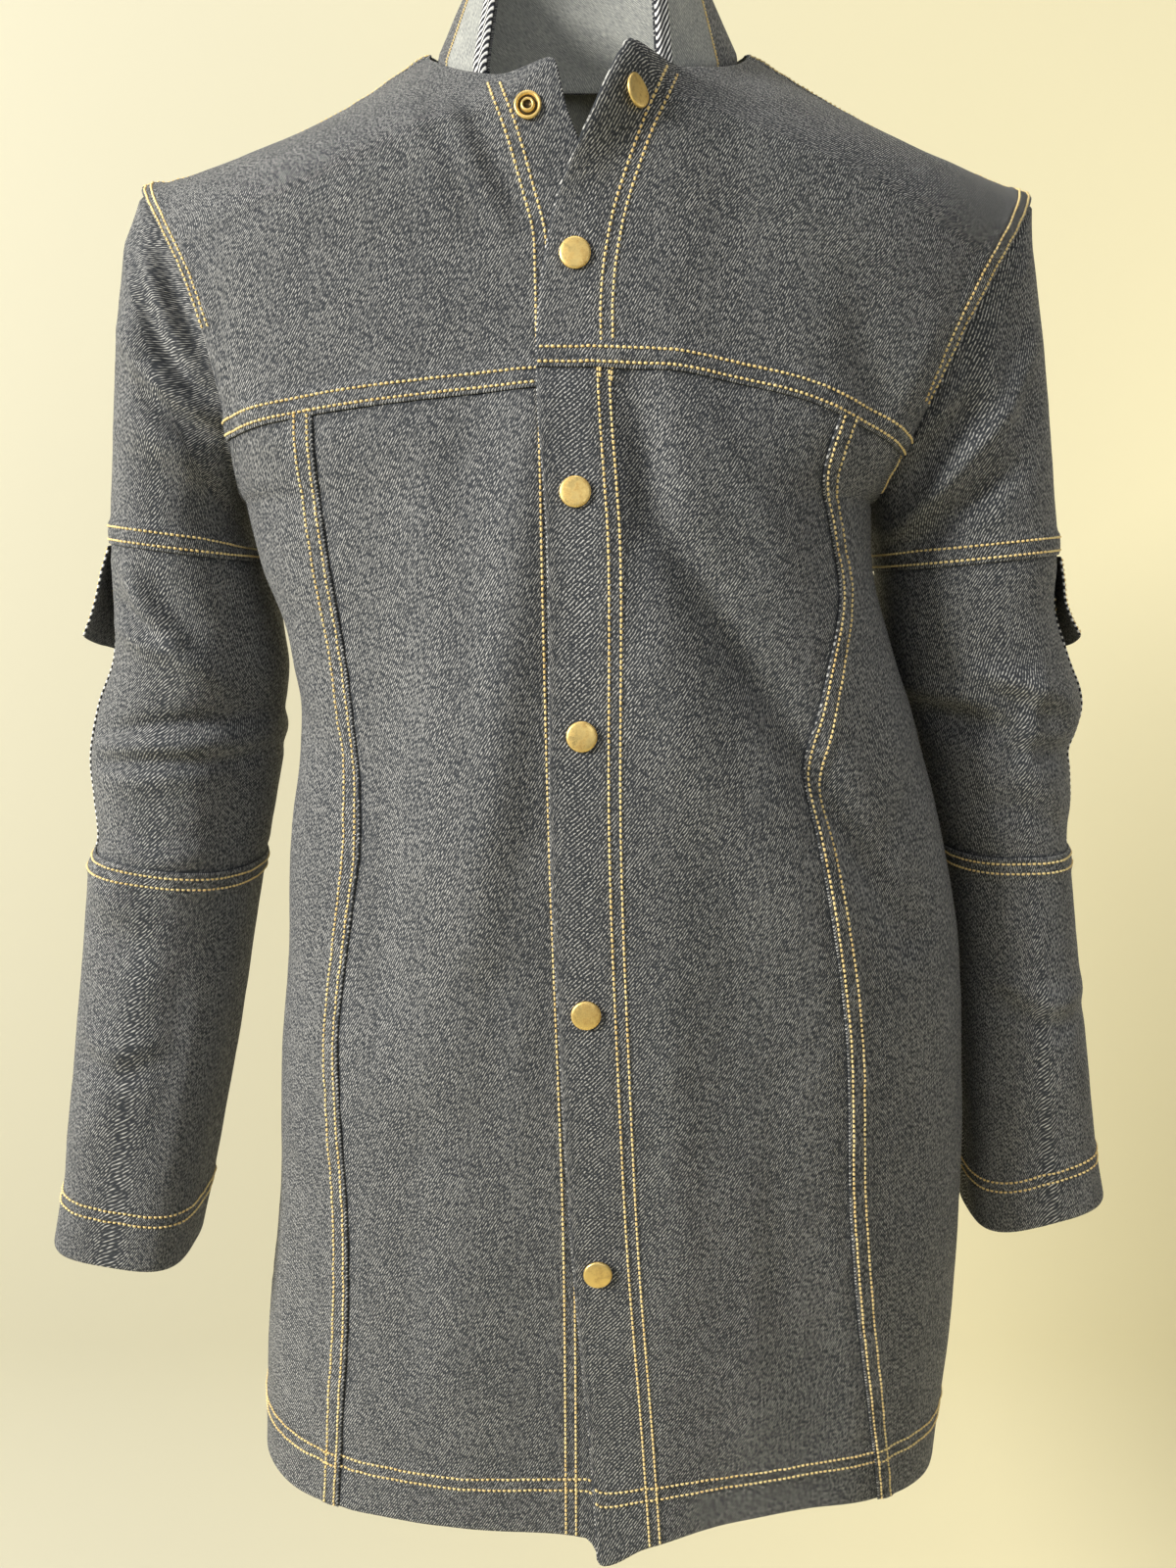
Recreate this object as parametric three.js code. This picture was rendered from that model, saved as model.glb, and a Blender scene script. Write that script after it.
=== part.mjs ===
import * as THREE from 'three';

// Worn denim jacket. Millimetres, Z up, the front faces -Y and +X is the wearer's left.
// The origin is the middle of the line between the two neck points of the shoulder seams.

const wall = 1.2;          // denim thickness
const seamGap = 0.3;       // space left between neighbouring panels
const layerGap = 0.35;     // space left between stacked layers
const facingWidth = 36;    // turned-back strip behind each front edge
const collarHeight = 38;
const capRadius = 7.5;
const capHeight = 2.8;

const rad = Math.PI / 180;
const lerp = (a, b, k) => a + (b - a) * k;
const clamp = (x, lo, hi) => Math.min(hi, Math.max(lo, x));
const v3 = (x, y, z) => new THREE.Vector3(x, y, z);

// Smooth curve through knots: cubic Hermite with finite-difference tangents.
function curve(xs, ys) {
  const n = xs.length;
  const d = xs.map((x, i) => {
    if (i === 0) return (ys[1] - ys[0]) / (xs[1] - xs[0]);
    if (i === n - 1) return (ys[n - 1] - ys[n - 2]) / (xs[n - 1] - xs[n - 2]);
    return (ys[i + 1] - ys[i - 1]) / (xs[i + 1] - xs[i - 1]);
  });
  return (x) => {
    if (x <= xs[0]) return ys[0];
    if (x >= xs[n - 1]) return ys[n - 1];
    let i = 0;
    while (x > xs[i + 1]) i++;
    const h = xs[i + 1] - xs[i], k = (x - xs[i]) / h;
    const k2 = k * k, k3 = k2 * k;
    return (2 * k3 - 3 * k2 + 1) * ys[i] + (k3 - 2 * k2 + k) * h * d[i]
      + (3 * k2 - 2 * k3) * ys[i + 1] + (k3 - k2) * h * d[i + 1];
  };
}
const columns = (rows, names) => Object.fromEntries(names.map((n) => [n, rows.map((r) => r[n])]));
function table(text, names) {
  return text.trim().split('\n').map((line) => {
    const v = line.trim().split(/\s+/).map(Number);
    return Object.fromEntries(names.map((n, i) => [n, v[i]]));
  });
}

// ---- neckline and armholes -------------------------------------------------
function neckline(angle) {                       // 0 front, 90 side, 180 back
  const a = angle * rad, c = Math.cos(a);
  return v3(84 * Math.sin(a), c > 0 ? -88 * c : -62 * c, c > 0 ? -38 + 39 * (1 - c) : 1 - 12 * c);
}
// side -1 is the wearer's right, side +1 the wearer's left
const armholes = {
  '-1': { top: v3(-240, 5, -66), bottom: v3(-190, -4, -232), front: 58, back: 60, scoop: 20 },
  '1': { top: v3(238, 5, -70), bottom: v3(156, -4, -232), front: 58, back: 60, scoop: 7 },
};
function armhole(side, angle) {                  // 0 top, 90 front, 180 underarm, 270 back
  const h = armholes[side], a = angle * rad;
  const p = h.top.clone().add(h.bottom).multiplyScalar(0.5);
  p.addScaledVector(h.top.clone().sub(h.bottom), Math.cos(a) / 2);
  const s = Math.sin(a);
  p.y -= s * (s > 0 ? h.front : h.back);
  p.x -= side * h.scoop * s * s * (s > 0 ? 1 : 0.6);
  return p;
}

// ---- torso rings -----------------------------------------------------------
// t    row parameter, hem to shoulder
// z    height of the row at the centre line
// f, b depth of the front and the back centre line
// wl, wr half widths at the sides, to the wearer's right and left
// zs   height at the side line
const bodyRows = table(`
  0.00  -790  118 116  203 218  -800
  0.10  -715  120 120  198 225  -718
  0.22  -634  123 124  187 226  -634
  0.34  -545  126 122  182 222  -545
  0.43  -484  126 114  175 217  -484
  0.52  -420  125 104  171 204  -420
  0.60  -358  122  98  163 187  -358
  0.67  -300  117  98  168 168  -304
  0.72  -262  113 102  180 158  -270
  0.77  -232  109 106  190 156  -232`,
['t', 'z', 'f', 'b', 'wl', 'wr', 'zs']);
const underarm = 0.77;
// rows above the underarm end on the armhole at angle `arm`; they start on the
// centre line (neck 0) or, once neck is set, on the neckline at that angle
const upperRows = table(`
  0.77  180  -232  109   0   88  -232 106  0
  0.81  140  -196  103   0   82  -186 111  0
  0.85  115  -152   96   0   78  -140 114  0
  0.89   90  -100   91   0   72   -92 109  0
  0.93   65   -38   88   0   66   -40  97  0
  0.95   48   -33   76  30   62    13  62  180
  0.975  24   -18   40  62   52     6  40  130
  1.00    0     1    0  90   38     1   0  90`,
['t', 'arm', 'z', 'f', 'neck', 'wrap', 'zb', 'b', 'neckBack']);

const bodyCols = columns(bodyRows, ['t', 'z', 'f', 'b', 'wl', 'wr', 'zs']);
const upCols = columns(upperRows, ['t', 'arm', 'z', 'f', 'neck', 'wrap', 'zb', 'b', 'neckBack']);
const joined = (a, b) => [...a.slice(0, -1), ...b];
const allT = joined(bodyCols.t, upCols.t);
const flat = (n, value) => Array(n).fill(value);
const lowN = bodyRows.length;
const centreZ = curve(allT, joined(bodyCols.z, upCols.z));
const centreF = curve(allT, joined(bodyCols.f, upCols.f));
const centreZb = curve(allT, joined(bodyCols.z, upCols.zb));
const centreB = curve(allT, joined(bodyCols.b, upCols.b));
const wrapAt = curve(allT, joined(flat(lowN, 90), upCols.wrap));
const halfLeft = curve(bodyCols.t, bodyCols.wl);
const halfRight = curve(bodyCols.t, bodyCols.wr);
const sideZ = curve(bodyCols.t, bodyCols.zs);
const armAngle = curve(upCols.t, upCols.arm);
const neckT = 0.93, neckBackT = 0.95;

function innerPoint(back, t) {
  if (!back && t > neckT) return neckline(90 * Math.pow((t - neckT) / (1 - neckT), 0.8));
  if (back && t > neckBackT) return neckline(180 - 90 * Math.pow((t - neckBackT) / (1 - neckBackT), 0.8));
  return back ? v3(0, centreB(t), centreZb(t)) : v3(0, -centreF(t), centreZ(t));
}
function outerPoint(side, back, t) {
  if (t >= underarm) return armhole(side, back ? 360 - armAngle(t) : armAngle(t));
  return v3(side * (side < 0 ? halfLeft(t) : halfRight(t)), -4, sideZ(t));
}
const square = 2.35;
// across: -1 right side line .. 0 centre .. 1 left side line
function torsoBase(back, across, t) {
  const side = across < 0 ? -1 : 1, u = Math.abs(across);
  const a = innerPoint(back, t), b = outerPoint(side, back, t);
  if (side < 0) a.x = -a.x;
  const w = clamp(wrapAt(t), 5, 90) * rad, e = 2 / square;
  const f = Math.pow(Math.sin(u * w) / Math.sin(w), e);
  const g = (1 - Math.pow(Math.cos(u * w), e)) / (1 - Math.pow(Math.cos(w), e));
  const p = v3(lerp(a.x, b.x, f), lerp(a.y, b.y, g), lerp(a.z, b.z, f));
  if (t > neckT) p.z -= 18 * f * (1 - f) * clamp((t - neckT) / (1 - neckT), 0, 1);
  return p;
}

// Largest folds of the torso: a line in the front view, half width and depth (+ outward).
const bodyFolds = table(`
   18 -185   42 -262  20 -4.0
   42 -262   70 -310  20 -5.0
   70 -310  132 -402  20 -5.0
  132 -402  150 -470  18 -3.0
   40 -215   95 -330  16  2.5
  -62  -52  -32 -108   9 -2.5
  142 -128  152 -200  16 -3.0
  176 -150  150 -215  10  3.0
 -185 -165 -150 -215  12  2.5
  -70 -260  -62 -520  22  2.0
 -112 -330 -100 -480  22 -2.5
  -60 -600  -75 -770  26  2.5
   70 -560   80 -760  26  2.0
  120 -600  130 -770  22 -2.5
 -170 -330 -120 -380  12 -2.0
  186 -360  150 -420  12 -2.0`,
['x1', 'z1', 'x2', 'z2', 'width', 'depth']);
const backFolds = table(`
 -120 -190  -60 -260  16 -3.0
  110 -190   60 -250  16 -3.0
  -60 -360  -80 -640  26  3.0
   70 -360   90 -640  26  3.0
    0 -420    5 -700  22 -2.5
 -150 -330 -110 -370  14 -2.5
  150 -340  120 -390  14 -2.5`,
['x1', 'z1', 'x2', 'z2', 'width', 'depth']);
function foldSum(folds, x, z) {
  let sum = 0;
  for (const f of folds) {
    const dx = f.x2 - f.x1, dz = f.z2 - f.z1, l2 = dx * dx + dz * dz;
    const k = ((x - f.x1) * dx + (z - f.z1) * dz) / l2;
    const c = clamp(k, 0, 1), l = Math.sqrt(l2);
    const px = x - f.x1 - c * dx, pz = z - f.z1 - c * dz;
    sum += f.depth * Math.exp(-(px * px + pz * pz) / (f.width * f.width)) * (l > 0 ? 1 : 0);
  }
  return sum;
}
function normalOf(fn, a, b, step = 1e-3) {
  const du = fn(a + step, b).sub(fn(a - step, b)), dv = fn(a, b + step).sub(fn(a, b - step));
  return du.cross(dv).normalize();
}
function torso(back, across, t) {
  const p = torsoBase(back, across, t);
  const tt = clamp(t, 0.002, 0.992), aa = clamp(across, -0.985, 0.985);
  const normal = (rear) => normalOf((a, b) => torsoBase(rear, a, b), Math.abs(aa) < 0.004 ? 0.004 : aa, tt)
    .multiplyScalar(rear ? -1 : 1);
  const n = normal(back);
  // front and back share one normal where they are sewn together
  if (t > 0.999 || Math.abs(across) > 0.999) n.add(normal(!back)).normalize();
  const edge = clamp((1 - Math.abs(across)) * 6, 0, 1) * clamp((1 - t) * 14, 0, 1);
  const d = edge * foldSum(back ? backFolds : bodyFolds, p.x, p.z);
  return { p: p.addScaledVector(n, d), n };
}

// ---- seam lines in the front view ------------------------------------------
const line = (text) => {
  const rows = table(text, ['at', 'value']);
  rows.sort((a, b) => a.at - b.at);
  return curve(rows.map((r) => r.at), rows.map((r) => r.value));
};
const frontEdge = line(`
  -14 19
  -62 3
  -75 -4
  -96 -14
  -136 -22
  -177 -24
  -259 -19
  -401 -18
  -505 -14
  -619 -8
  -720 0
  -800 6`);
const underEdge = line(`
  -20 -19
  -57 -11
  -75 -3
  -100 4
  -136 10
  -200 11
  -400 15
  -600 21
  -800 22`);
const princess = {
  '-1': line(`
  -180 -136
  -224 -135
  -255 -133
  -288 -130
  -324 -126
  -404 -121
  -442 -125
  -493 -131
  -540 -133
  -640 -131
  -727 -137
  -800 -143`),
  '1': line(`
  -180 130
  -220 117
  -248 116
  -280 122
  -320 115
  -373 107
  -400 112
  -438 121
  -509 134
  -600 140
  -668 148
  -733 158
  -800 168`),
};
const yokeLine = {
  '-1': line(`
  -200 -204
  -152 -196
  -92 -189
  0 -182
  40 -182`),
  '1': line(`
  -40 -175
  40 -176
  75 -181
  109 -188
  142 -200
  170 -212`),
};
// depth of the hem below the lowest ring, front view
const hemDrop = line(`
  -210 4
  -120 -3
  -60 -2
  0 4
  8 17
  32 5
  70 -4
  125 -8
  180 2
  215 10`);

function acrossAt(back, t, wantX, lo = -0.98, hi = 0.98) {
  for (let i = 0; i < 34; i++) {
    const m = (lo + hi) / 2, p = torsoBase(back, m, t);
    if (p.x < wantX(p.z)) lo = m; else hi = m;
  }
  return (lo + hi) / 2;
}
function rowAt(acrossOf, wantZ) {
  let lo = 0.5, hi = 0.98;
  for (let i = 0; i < 30; i++) {
    const m = (lo + hi) / 2, p = torsoBase(false, acrossOf(m), m);
    if (p.z < wantZ(p.x)) lo = m; else hi = m;
  }
  return (lo + hi) / 2;
}

// ---- closed cloth sheets ---------------------------------------------------
const brassColour = 0xb89045, denimColour = 0x434a58, reverseColour = 0xb7b8a8;
const group = new THREE.Group();
group.name = 'denim_jacket';
function addMesh(name, positions, indices, slot) {
  const g = new THREE.BufferGeometry();
  g.setAttribute('position', new THREE.Float32BufferAttribute(positions, 3));
  g.setIndex(indices);
  g.computeVertexNormals();
  const looks = {
    denim: { color: denimColour, roughness: 0.9, metalness: 0 },
    denim_reverse: { color: reverseColour, roughness: 0.95, metalness: 0 },
    brass: { color: brassColour, roughness: 0.35, metalness: 1 },
  }[slot];
  const material = new THREE.MeshStandardMaterial(looks);
  material.name = slot;
  const mesh = new THREE.Mesh(g, material);
  mesh.name = name;
  group.add(mesh);
  return mesh;
}
// A closed cloth solid from points { p, n, lift } and counter-clockwise quads seen
// from outside. The wall goes inwards from the outer face; free edges are drawn
// back by half a seam gap and closed.
function shell(name, points, quads, { thick = wall, trim = true, slot = 'denim' } = {}) {
  const edges = new Map();
  for (const q of quads) for (let k = 0; k < 4; k++) edges.set(`${q[k]}_${q[(k + 1) % 4]}`, [q[k], q[(k + 1) % 4]]);
  const free = [...edges.values()].filter(([c, d]) => !edges.has(`${d}_${c}`));
  const shift = points.map(() => v3(0, 0, 0));
  if (trim) for (const [c, d] of free) {
    const along = points[d].p.clone().sub(points[c].p);
    for (const k of [c, d]) shift[k].add(points[k].n.clone().cross(along).normalize());
  }
  const pos = [], idx = [], count = points.length;
  for (const layer of [0, 1]) points.forEach((q, k) => {
    const p = q.p.clone().addScaledVector(q.n, (q.lift || 0) - layer * thick);
    if (shift[k].lengthSq() > 0) p.addScaledVector(shift[k].normalize(), seamGap / 2);
    pos.push(p.x, p.y, p.z);
  });
  const quad = (c, d, e, f) => idx.push(c, d, e, c, e, f);
  for (const [c, d, e, f] of quads) {
    quad(c, d, e, f);
    quad(c + count, f + count, e + count, d + count);
  }
  for (const [c, d] of free) quad(d, c, c + count, d + count);
  return addMesh(name, pos, idx, slot);
}
// grid(i, j) gives { p, n }; a ring closes on itself in i.
function sheet(name, nu, nv, grid, { lift = 0, ring = false, flip = false, ...rest } = {}) {
  const cols = ring ? nu : nu + 1, points = [], quads = [];
  for (let j = 0; j <= nv; j++) for (let i = 0; i < cols; i++) {
    points.push({ ...grid(i, j), lift: typeof lift === 'function' ? lift(i / nu, j / nv) : lift });
  }
  const id = (i, j) => j * cols + (ring ? i % nu : i);
  for (let j = 0; j < nv; j++) for (let i = 0; i < nu; i++) {
    const q = [id(i, j), id(i + 1, j), id(i + 1, j + 1), id(i, j + 1)];
    quads.push(flip ? q.reverse() : q);
  }
  return shell(name, points, quads, rest);
}

// ---- fronts, yokes and back ------------------------------------------------
const sideCols = 4, lowRows = 15, midRows = 2;
const chestRows = 5, neckRows = 5, yokeRows = chestRows + neckRows;
// column places across a centre front; the facing lies behind the first two
const centreSteps = [0, 0.12, 0.24, 0.43, 0.62, 0.81, 1], centreCols = 6, facingCols = 2;
// the wearer's left front lies over the right one: it is lifted near the edge
const overlapLift = 2 * (wall + layerGap) + 1.3;
function leftLift(x) {
  const k = clamp((x - 34) / 46, 0, 1);
  return overlapLift * (1 - k * k * (3 - 2 * k));
}
const rowSets = {};
const frontPanel = (side) => {
  const edge = side > 0 ? frontEdge : underEdge;
  const edgeX = (z) => edge(z);
  const edgeCache = new Map();
  const edgeU = (t) => {
    const key = t.toFixed(5);
    if (!edgeCache.has(key)) {
      let u = acrossAt(false, t, edgeX);
      if (t > neckT) u = side > 0 ? Math.max(u, 0) : Math.min(u, 0);
      edgeCache.set(key, u);
    }
    return edgeCache.get(key);
  };
  const princessCache = new Map();
  const princessU = (t) => {
    const key = t.toFixed(5);
    if (!princessCache.has(key)) princessCache.set(key, acrossAt(false, t, princess[side]));
    return princessCache.get(key);
  };
  return { edgeU, princessU };
};
for (const side of [-1, 1]) {
  const who = side < 0 ? 'right' : 'left';
  const { edgeU, princessU } = frontPanel(side);
  const liftAt = (p) => (side > 0 ? leftLift(p.x) : 0);
  const place = (across, t) => {
    const q = torso(false, across, t);
    const low = clamp((0.1 - t) / 0.1, 0, 1);
    q.p.z -= low * low * hemDrop(q.p.x);
    q.p.addScaledVector(q.n, liftAt(q.p));
    return q;
  };
  const centreU = (k, t) => lerp(edgeU(t), princessU(t), k);
  const sideU = (k, t) => lerp(princessU(t), side, k);
  const topOf = (fn, k) => rowAt((t) => fn(k, t), yokeLine[side]);
  const centreTop = [], sideTop = [];
  for (let i = 0; i <= centreCols; i++) centreTop.push(topOf(centreU, centreSteps[i]));
  for (let i = 0; i <= sideCols; i++) sideTop.push(topOf(sideU, i / sideCols));
  const rows = (top, j) => (j <= lowRows ? lerp(0, underarm, j / lowRows) : lerp(underarm, top, (j - lowRows) / midRows));
  const flip = side < 0;
  const centreGrid = (i, j) => { const t = rows(centreTop[i], j); return place(centreU(centreSteps[i], t), t); };
  sheet(`centre_front_${who}`, centreCols, lowRows + midRows, centreGrid, { flip });
  sheet(`side_front_${who}`, sideCols, lowRows + midRows,
    (i, j) => { const t = rows(sideTop[i], j); return place(sideU(i / sideCols, t), t); }, { flip });
  const bottoms = [...centreTop, ...sideTop.slice(1)];
  const fractions = bottoms.map((t, i) => {
    const u = i <= centreCols ? centreU(centreSteps[i], t) : sideU((i - centreCols) / sideCols, t);
    return (u - edgeU(t)) / (side - edgeU(t));
  });
  rowSets[side] = fractions;
  const yokeCols = centreCols + sideCols;
  const yokeT = (i, j) => (j <= chestRows ? lerp(bottoms[i], neckT, j / chestRows) : lerp(neckT, 1, (j - chestRows) / neckRows));
  const yokeGrid = (i, j) => { const t = yokeT(i, j); return place(lerp(edgeU(t), side, fractions[i]), t); };
  sheet(`yoke_${who}`, yokeCols, yokeRows, yokeGrid, { flip });
  // turned-back facing behind the front edge, hem to neck
  let top = 0;
  while (yokeT(0, top + 1) <= neckT) top++;
  const lower = lowRows + midRows;
  sheet(`facing_${who}`, facingCols, lower + top, (i, j) => (j <= lower ? centreGrid(i, j) : yokeGrid(i, j - lower)),
    { flip, lift: -(wall + layerGap), thick: 1.0 });
}

// The back is one piece: full rows up to the neck, then one wing to each shoulder.
const backChest = 6;
const halfAcross = { '-1': rowSets[-1].slice(1).map((f) => -f).reverse(), 1: rowSets[1].slice(1) };
const backAcross = [...halfAcross[-1], 0, ...halfAcross[1]];
const centreColumn = halfAcross[-1].length;
const backPoints = [], backQuads = [], mainRows = lowRows + backChest;
for (let j = 0; j <= mainRows; j++) {
  const t = j <= lowRows ? lerp(0, underarm, j / lowRows) : lerp(underarm, neckBackT, (j - lowRows) / backChest);
  for (const across of backAcross) backPoints.push(torso(true, across, t));
}
const backWidth = backAcross.length;
const addQuad = (c, d, e, f) => backQuads.push([d, c, f, e]);
for (let j = 0; j < mainRows; j++) for (let i = 0; i + 1 < backWidth; i++) {
  const k = j * backWidth + i;
  addQuad(k, k + 1, k + 1 + backWidth, k + backWidth);
}
for (const side of [-1, 1]) {
  const wing = side < 0 ? [...halfAcross[-1], -1e-6] : [1e-6, ...halfAcross[1]];
  const first = mainRows * backWidth + (side < 0 ? 0 : centreColumn);
  let below = wing.map((_, i) => first + i);
  for (let j = 1; j <= neckRows; j++) {
    const t = lerp(neckBackT, 1, j / neckRows);
    const here = wing.map((across) => backPoints.push(torso(true, across, t)) - 1);
    for (let i = 0; i + 1 < wing.length; i++) addQuad(below[i], below[i + 1], here[i + 1], here[i]);
    below = here;
  }
}
shell('back', backPoints, backQuads);

// ---- collar ----------------------------------------------------------------
const collarStart = { right: -34, left: 29 };      // angle round the neck where the band ends
function collarPoint(angle, h) {
  const a = Math.abs(angle), side = angle < 0 ? -1 : 1;
  const c = neckline(a);
  c.x *= side;
  const out = v3(c.x, c.y, 0).normalize();
  const lean = 0.16 * Math.cos(a * rad);
  const p = c.addScaledVector(out, -3 + h * -0.05);
  p.z += -4 + h;
  p.y += h * lean * 0.6;
  return { p, n: out };
}
const collarCols = 30;
const collarSpan = (k) => lerp(collarStart.left, 360 + collarStart.right, k);
const wrapAngle = (a) => (a > 180 ? a - 360 : a);
sheet('collar', collarCols, 4, (i, j) => collarPoint(wrapAngle(collarSpan(i / collarCols)), (j / 4) * (collarHeight + 4)),
  { trim: false });
for (const side of [-1, 1]) {
  const who = side < 0 ? 'right' : 'left';
  const start = side < 0 ? collarStart.right : collarStart.left;
  sheet(`collar_turnback_${who}`, 4, 4, (i, j) => collarPoint(start + side * (i / 4) * 24, 5 + (j / 4) * (collarHeight - 1)),
    { trim: false, lift: (a) => wall + layerGap + 0.6 * Math.sin(a * 3.1), slot: 'denim_reverse', flip: side < 0 });
}

// ---- sleeves ---------------------------------------------------------------
// ox, oz outer point of the ring; ix, iz inner point; y middle; f, b half depths
const sleeveNames = ['s', 'ox', 'oz', 'ix', 'iz', 'y', 'f', 'b'];
const sleeveRows = {
  '-1': table(`
  0.10  -246 -92   -197 -243    6  59 61
  0.20  -254 -135  -196 -249    9  60 62
  0.30  -261 -180  -195 -254   11  60 62
  0.38  -267 -218  -193 -259   12  60 62
  0.46  -272 -256  -189 -265   12  61 60
  0.54  -279 -316  -179 -320   12  61 60
  0.58  -286 -346  -182 -350   12  60 61
  0.61  -293 -372  -184 -374    9  59 62
  0.66  -292 -400  -190 -398    6  57 60
  0.72  -292 -438  -197 -434    0  55 57
  0.80  -293 -500  -206 -496  -10  51 53
  0.88  -298 -566  -216 -562  -24  48 50
  0.95  -303 -618  -226 -622  -35  46 47
  1.00  -308 -648  -234 -662  -43  45 45`, sleeveNames),
  1: table(`
  0.10   238 -94    163 -243    6  58 61
  0.20   246 -137   165 -250    9  59 62
  0.30   253 -180   167 -255   12  60 62
  0.38   258 -220   169 -261   14  60 62
  0.46   264 -258   172 -270   15  60 61
  0.54   278 -316   181 -324   15  60 61
  0.58   286 -344   190 -354   15  59 61
  0.61   285 -370   197 -376   14  58 61
  0.66   284 -400   204 -402   13  58 60
  0.72   286 -438   214 -440   12  56 58
  0.80   292 -500   223 -500    8  53 55
  0.88   300 -562   228 -564    4  50 52
  0.95   308 -612   233 -620    0  48 49
  1.00   314 -640   238 -662   -4  46 46`, sleeveNames),
};
const sleeveFolds = {
  '-1': table(`
  -262 -132  -240 -166  11  3.5
  -240 -166  -196 -196  11  4.5
  -238  -92  -214 -140  12 -4.0
  -214 -140  -190 -186  12 -4.0
  -255 -150  -215 -205   9 -3.0
  -262 -190  -220 -245  13 -2.5
  -258 -262  -228 -306   8  2.5
  -262 -300  -226 -326   8  2.5
  -290 -352  -185 -352   9 -3.0
  -290 -364  -190 -368   8  2.5
  -280 -400  -225 -392   9 -2.0
  -270 -460  -230 -600  16 -1.5`, ['x1', 'z1', 'x2', 'z2', 'width', 'depth']),
  1: table(`
   190 -190   220 -150  10  3.0
   168 -236   205 -196  11  3.5
   175 -260   225 -215  10 -3.0
   215 -120   235 -200  14 -2.5
   225 -340   290 -330   9  3.0
   195 -346   225 -356  11 -3.5
   235 -366   285 -372   9 -2.5
   240 -420   260 -600  16 -1.5
   250 -470   280 -560  12  1.5`, ['x1', 'z1', 'x2', 'z2', 'width', 'depth']),
};
const sleeveCurves = {};
for (const side of [-1, 1]) {
  const c = columns(sleeveRows[side], sleeveNames);
  sleeveCurves[side] = Object.fromEntries(sleeveNames.slice(1).map((n) => [n, curve(c.s, c[n])]));
}
const roundness = 2.15, headStep = 0.03, headReach = 4.6;
const signedPower = (x, e) => Math.sign(x) * Math.pow(Math.abs(x), e);
function sleeveBase(side, angle, s) {            // angle 0 outer, 90 front, 180 inner, 270 back
  const a = angle * rad, e = 2 / roundness;
  const c = signedPower(Math.cos(a), e), d = signedPower(Math.sin(a), e);
  const k = sleeveCurves[side];
  const ring = (r) => {
    const o = v3(k.ox(r), k.y(r), k.oz(r)), i = v3(k.ix(r), k.y(r), k.iz(r));
    const p = o.clone().add(i).multiplyScalar(0.5).addScaledVector(o.sub(i), c / 2);
    p.y -= d * (d > 0 ? k.f(r) : k.b(r));
    return p;
  };
  if (s >= 0.1) return ring(s);
  // head of the sleeve: from under the armhole edge, past it, out to the first full ring
  const h = armholes[side], mid = h.top.clone().add(h.bottom).multiplyScalar(0.5);
  mid.y = 0;
  const edge = armhole(side, angle);
  edge.addScaledVector(mid.sub(edge).normalize(), wall + 2.3);
  if (s < headStep) { edge.x += side * lerp(-2, headReach, s / headStep); return edge; }
  edge.x += side * headReach;
  return edge.lerp(ring(0.1), (s - headStep) / (0.1 - headStep));
}
function sleeve(side, angle, s) {
  const p = sleeveBase(side, angle, s);
  const n = normalOf((a, b) => sleeveBase(side, a, b), angle, clamp(s, 0.004, 0.996), 2e-3);
  n.multiplyScalar(side);
  const facing = Math.abs(n.y), sign = side < 0 ? '-1' : '1';
  const fade = clamp(s * 14, 0, 1) * clamp((1 - s) * 20, 0, 1);
  const near = n.y < 0 ? 1 : 0.8;
  const d = foldSum(sleeveFolds[sign], p.x, p.z) * facing * fade * near;
  return { p: p.addScaledVector(n, d), n };
}
const upperSeam = 0.455, lowerSeam = 0.70, around = 22, middleRows = 7;
for (const side of [-1, 1]) {
  const who = side < 0 ? 'right' : 'left';
  const tube = (name, s0, s1, nv) => sheet(name, around, nv,
    (i, j) => sleeve(side, (i / around) * 360, Array.isArray(s0) ? s0[j] : lerp(s0, s1, j / nv)),
    { ring: true, flip: side < 0 });
  const headRows = [0, headStep, 0.065, 0.1, 0.14, 0.18, 0.225, 0.27, 0.315, 0.36, 0.405, upperSeam];
  tube(`sleeve_upper_${who}`, headRows, 1, headRows.length - 1);
  tube(`sleeve_middle_${who}`, upperSeam, lowerSeam, middleRows);
  tube(`sleeve_lower_${who}`, lowerSeam, 1, 9);
  // patch pocket between the two seams, on the outside of the arm
  sheet(`sleeve_pocket_${who}`, 6, middleRows - 1,
    (i, j) => sleeve(side, (3 - i) * (360 / around), lerp(upperSeam, lowerSeam, (j + 1) / middleRows)),
    { flip: side > 0, lift: (a, b) => wall + layerGap + 2.2 * Math.sin(a * Math.PI) * Math.sin(b * Math.PI) });
  // pointed flap, held under the upper seam and standing off the arm
  sheet(`sleeve_flap_${who}`, 6, 4, (i, j) => {
    const k = i / 6, drop = 0.054 + 0.02 * (1 - Math.abs(2 * k - 1));
    return sleeve(side, lerp(52, -52, k), lerp(upperSeam + 0.004, upperSeam + 0.004 + drop, j / 4));
  }, { flip: side > 0, trim: false,
    lift: (a, b) => 2 * (wall + layerGap) + 3.2 * Math.min(1, b * 4) + 8 * b * b * (0.45 + 0.55 * Math.abs(2 * a - 1)) });
}

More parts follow.
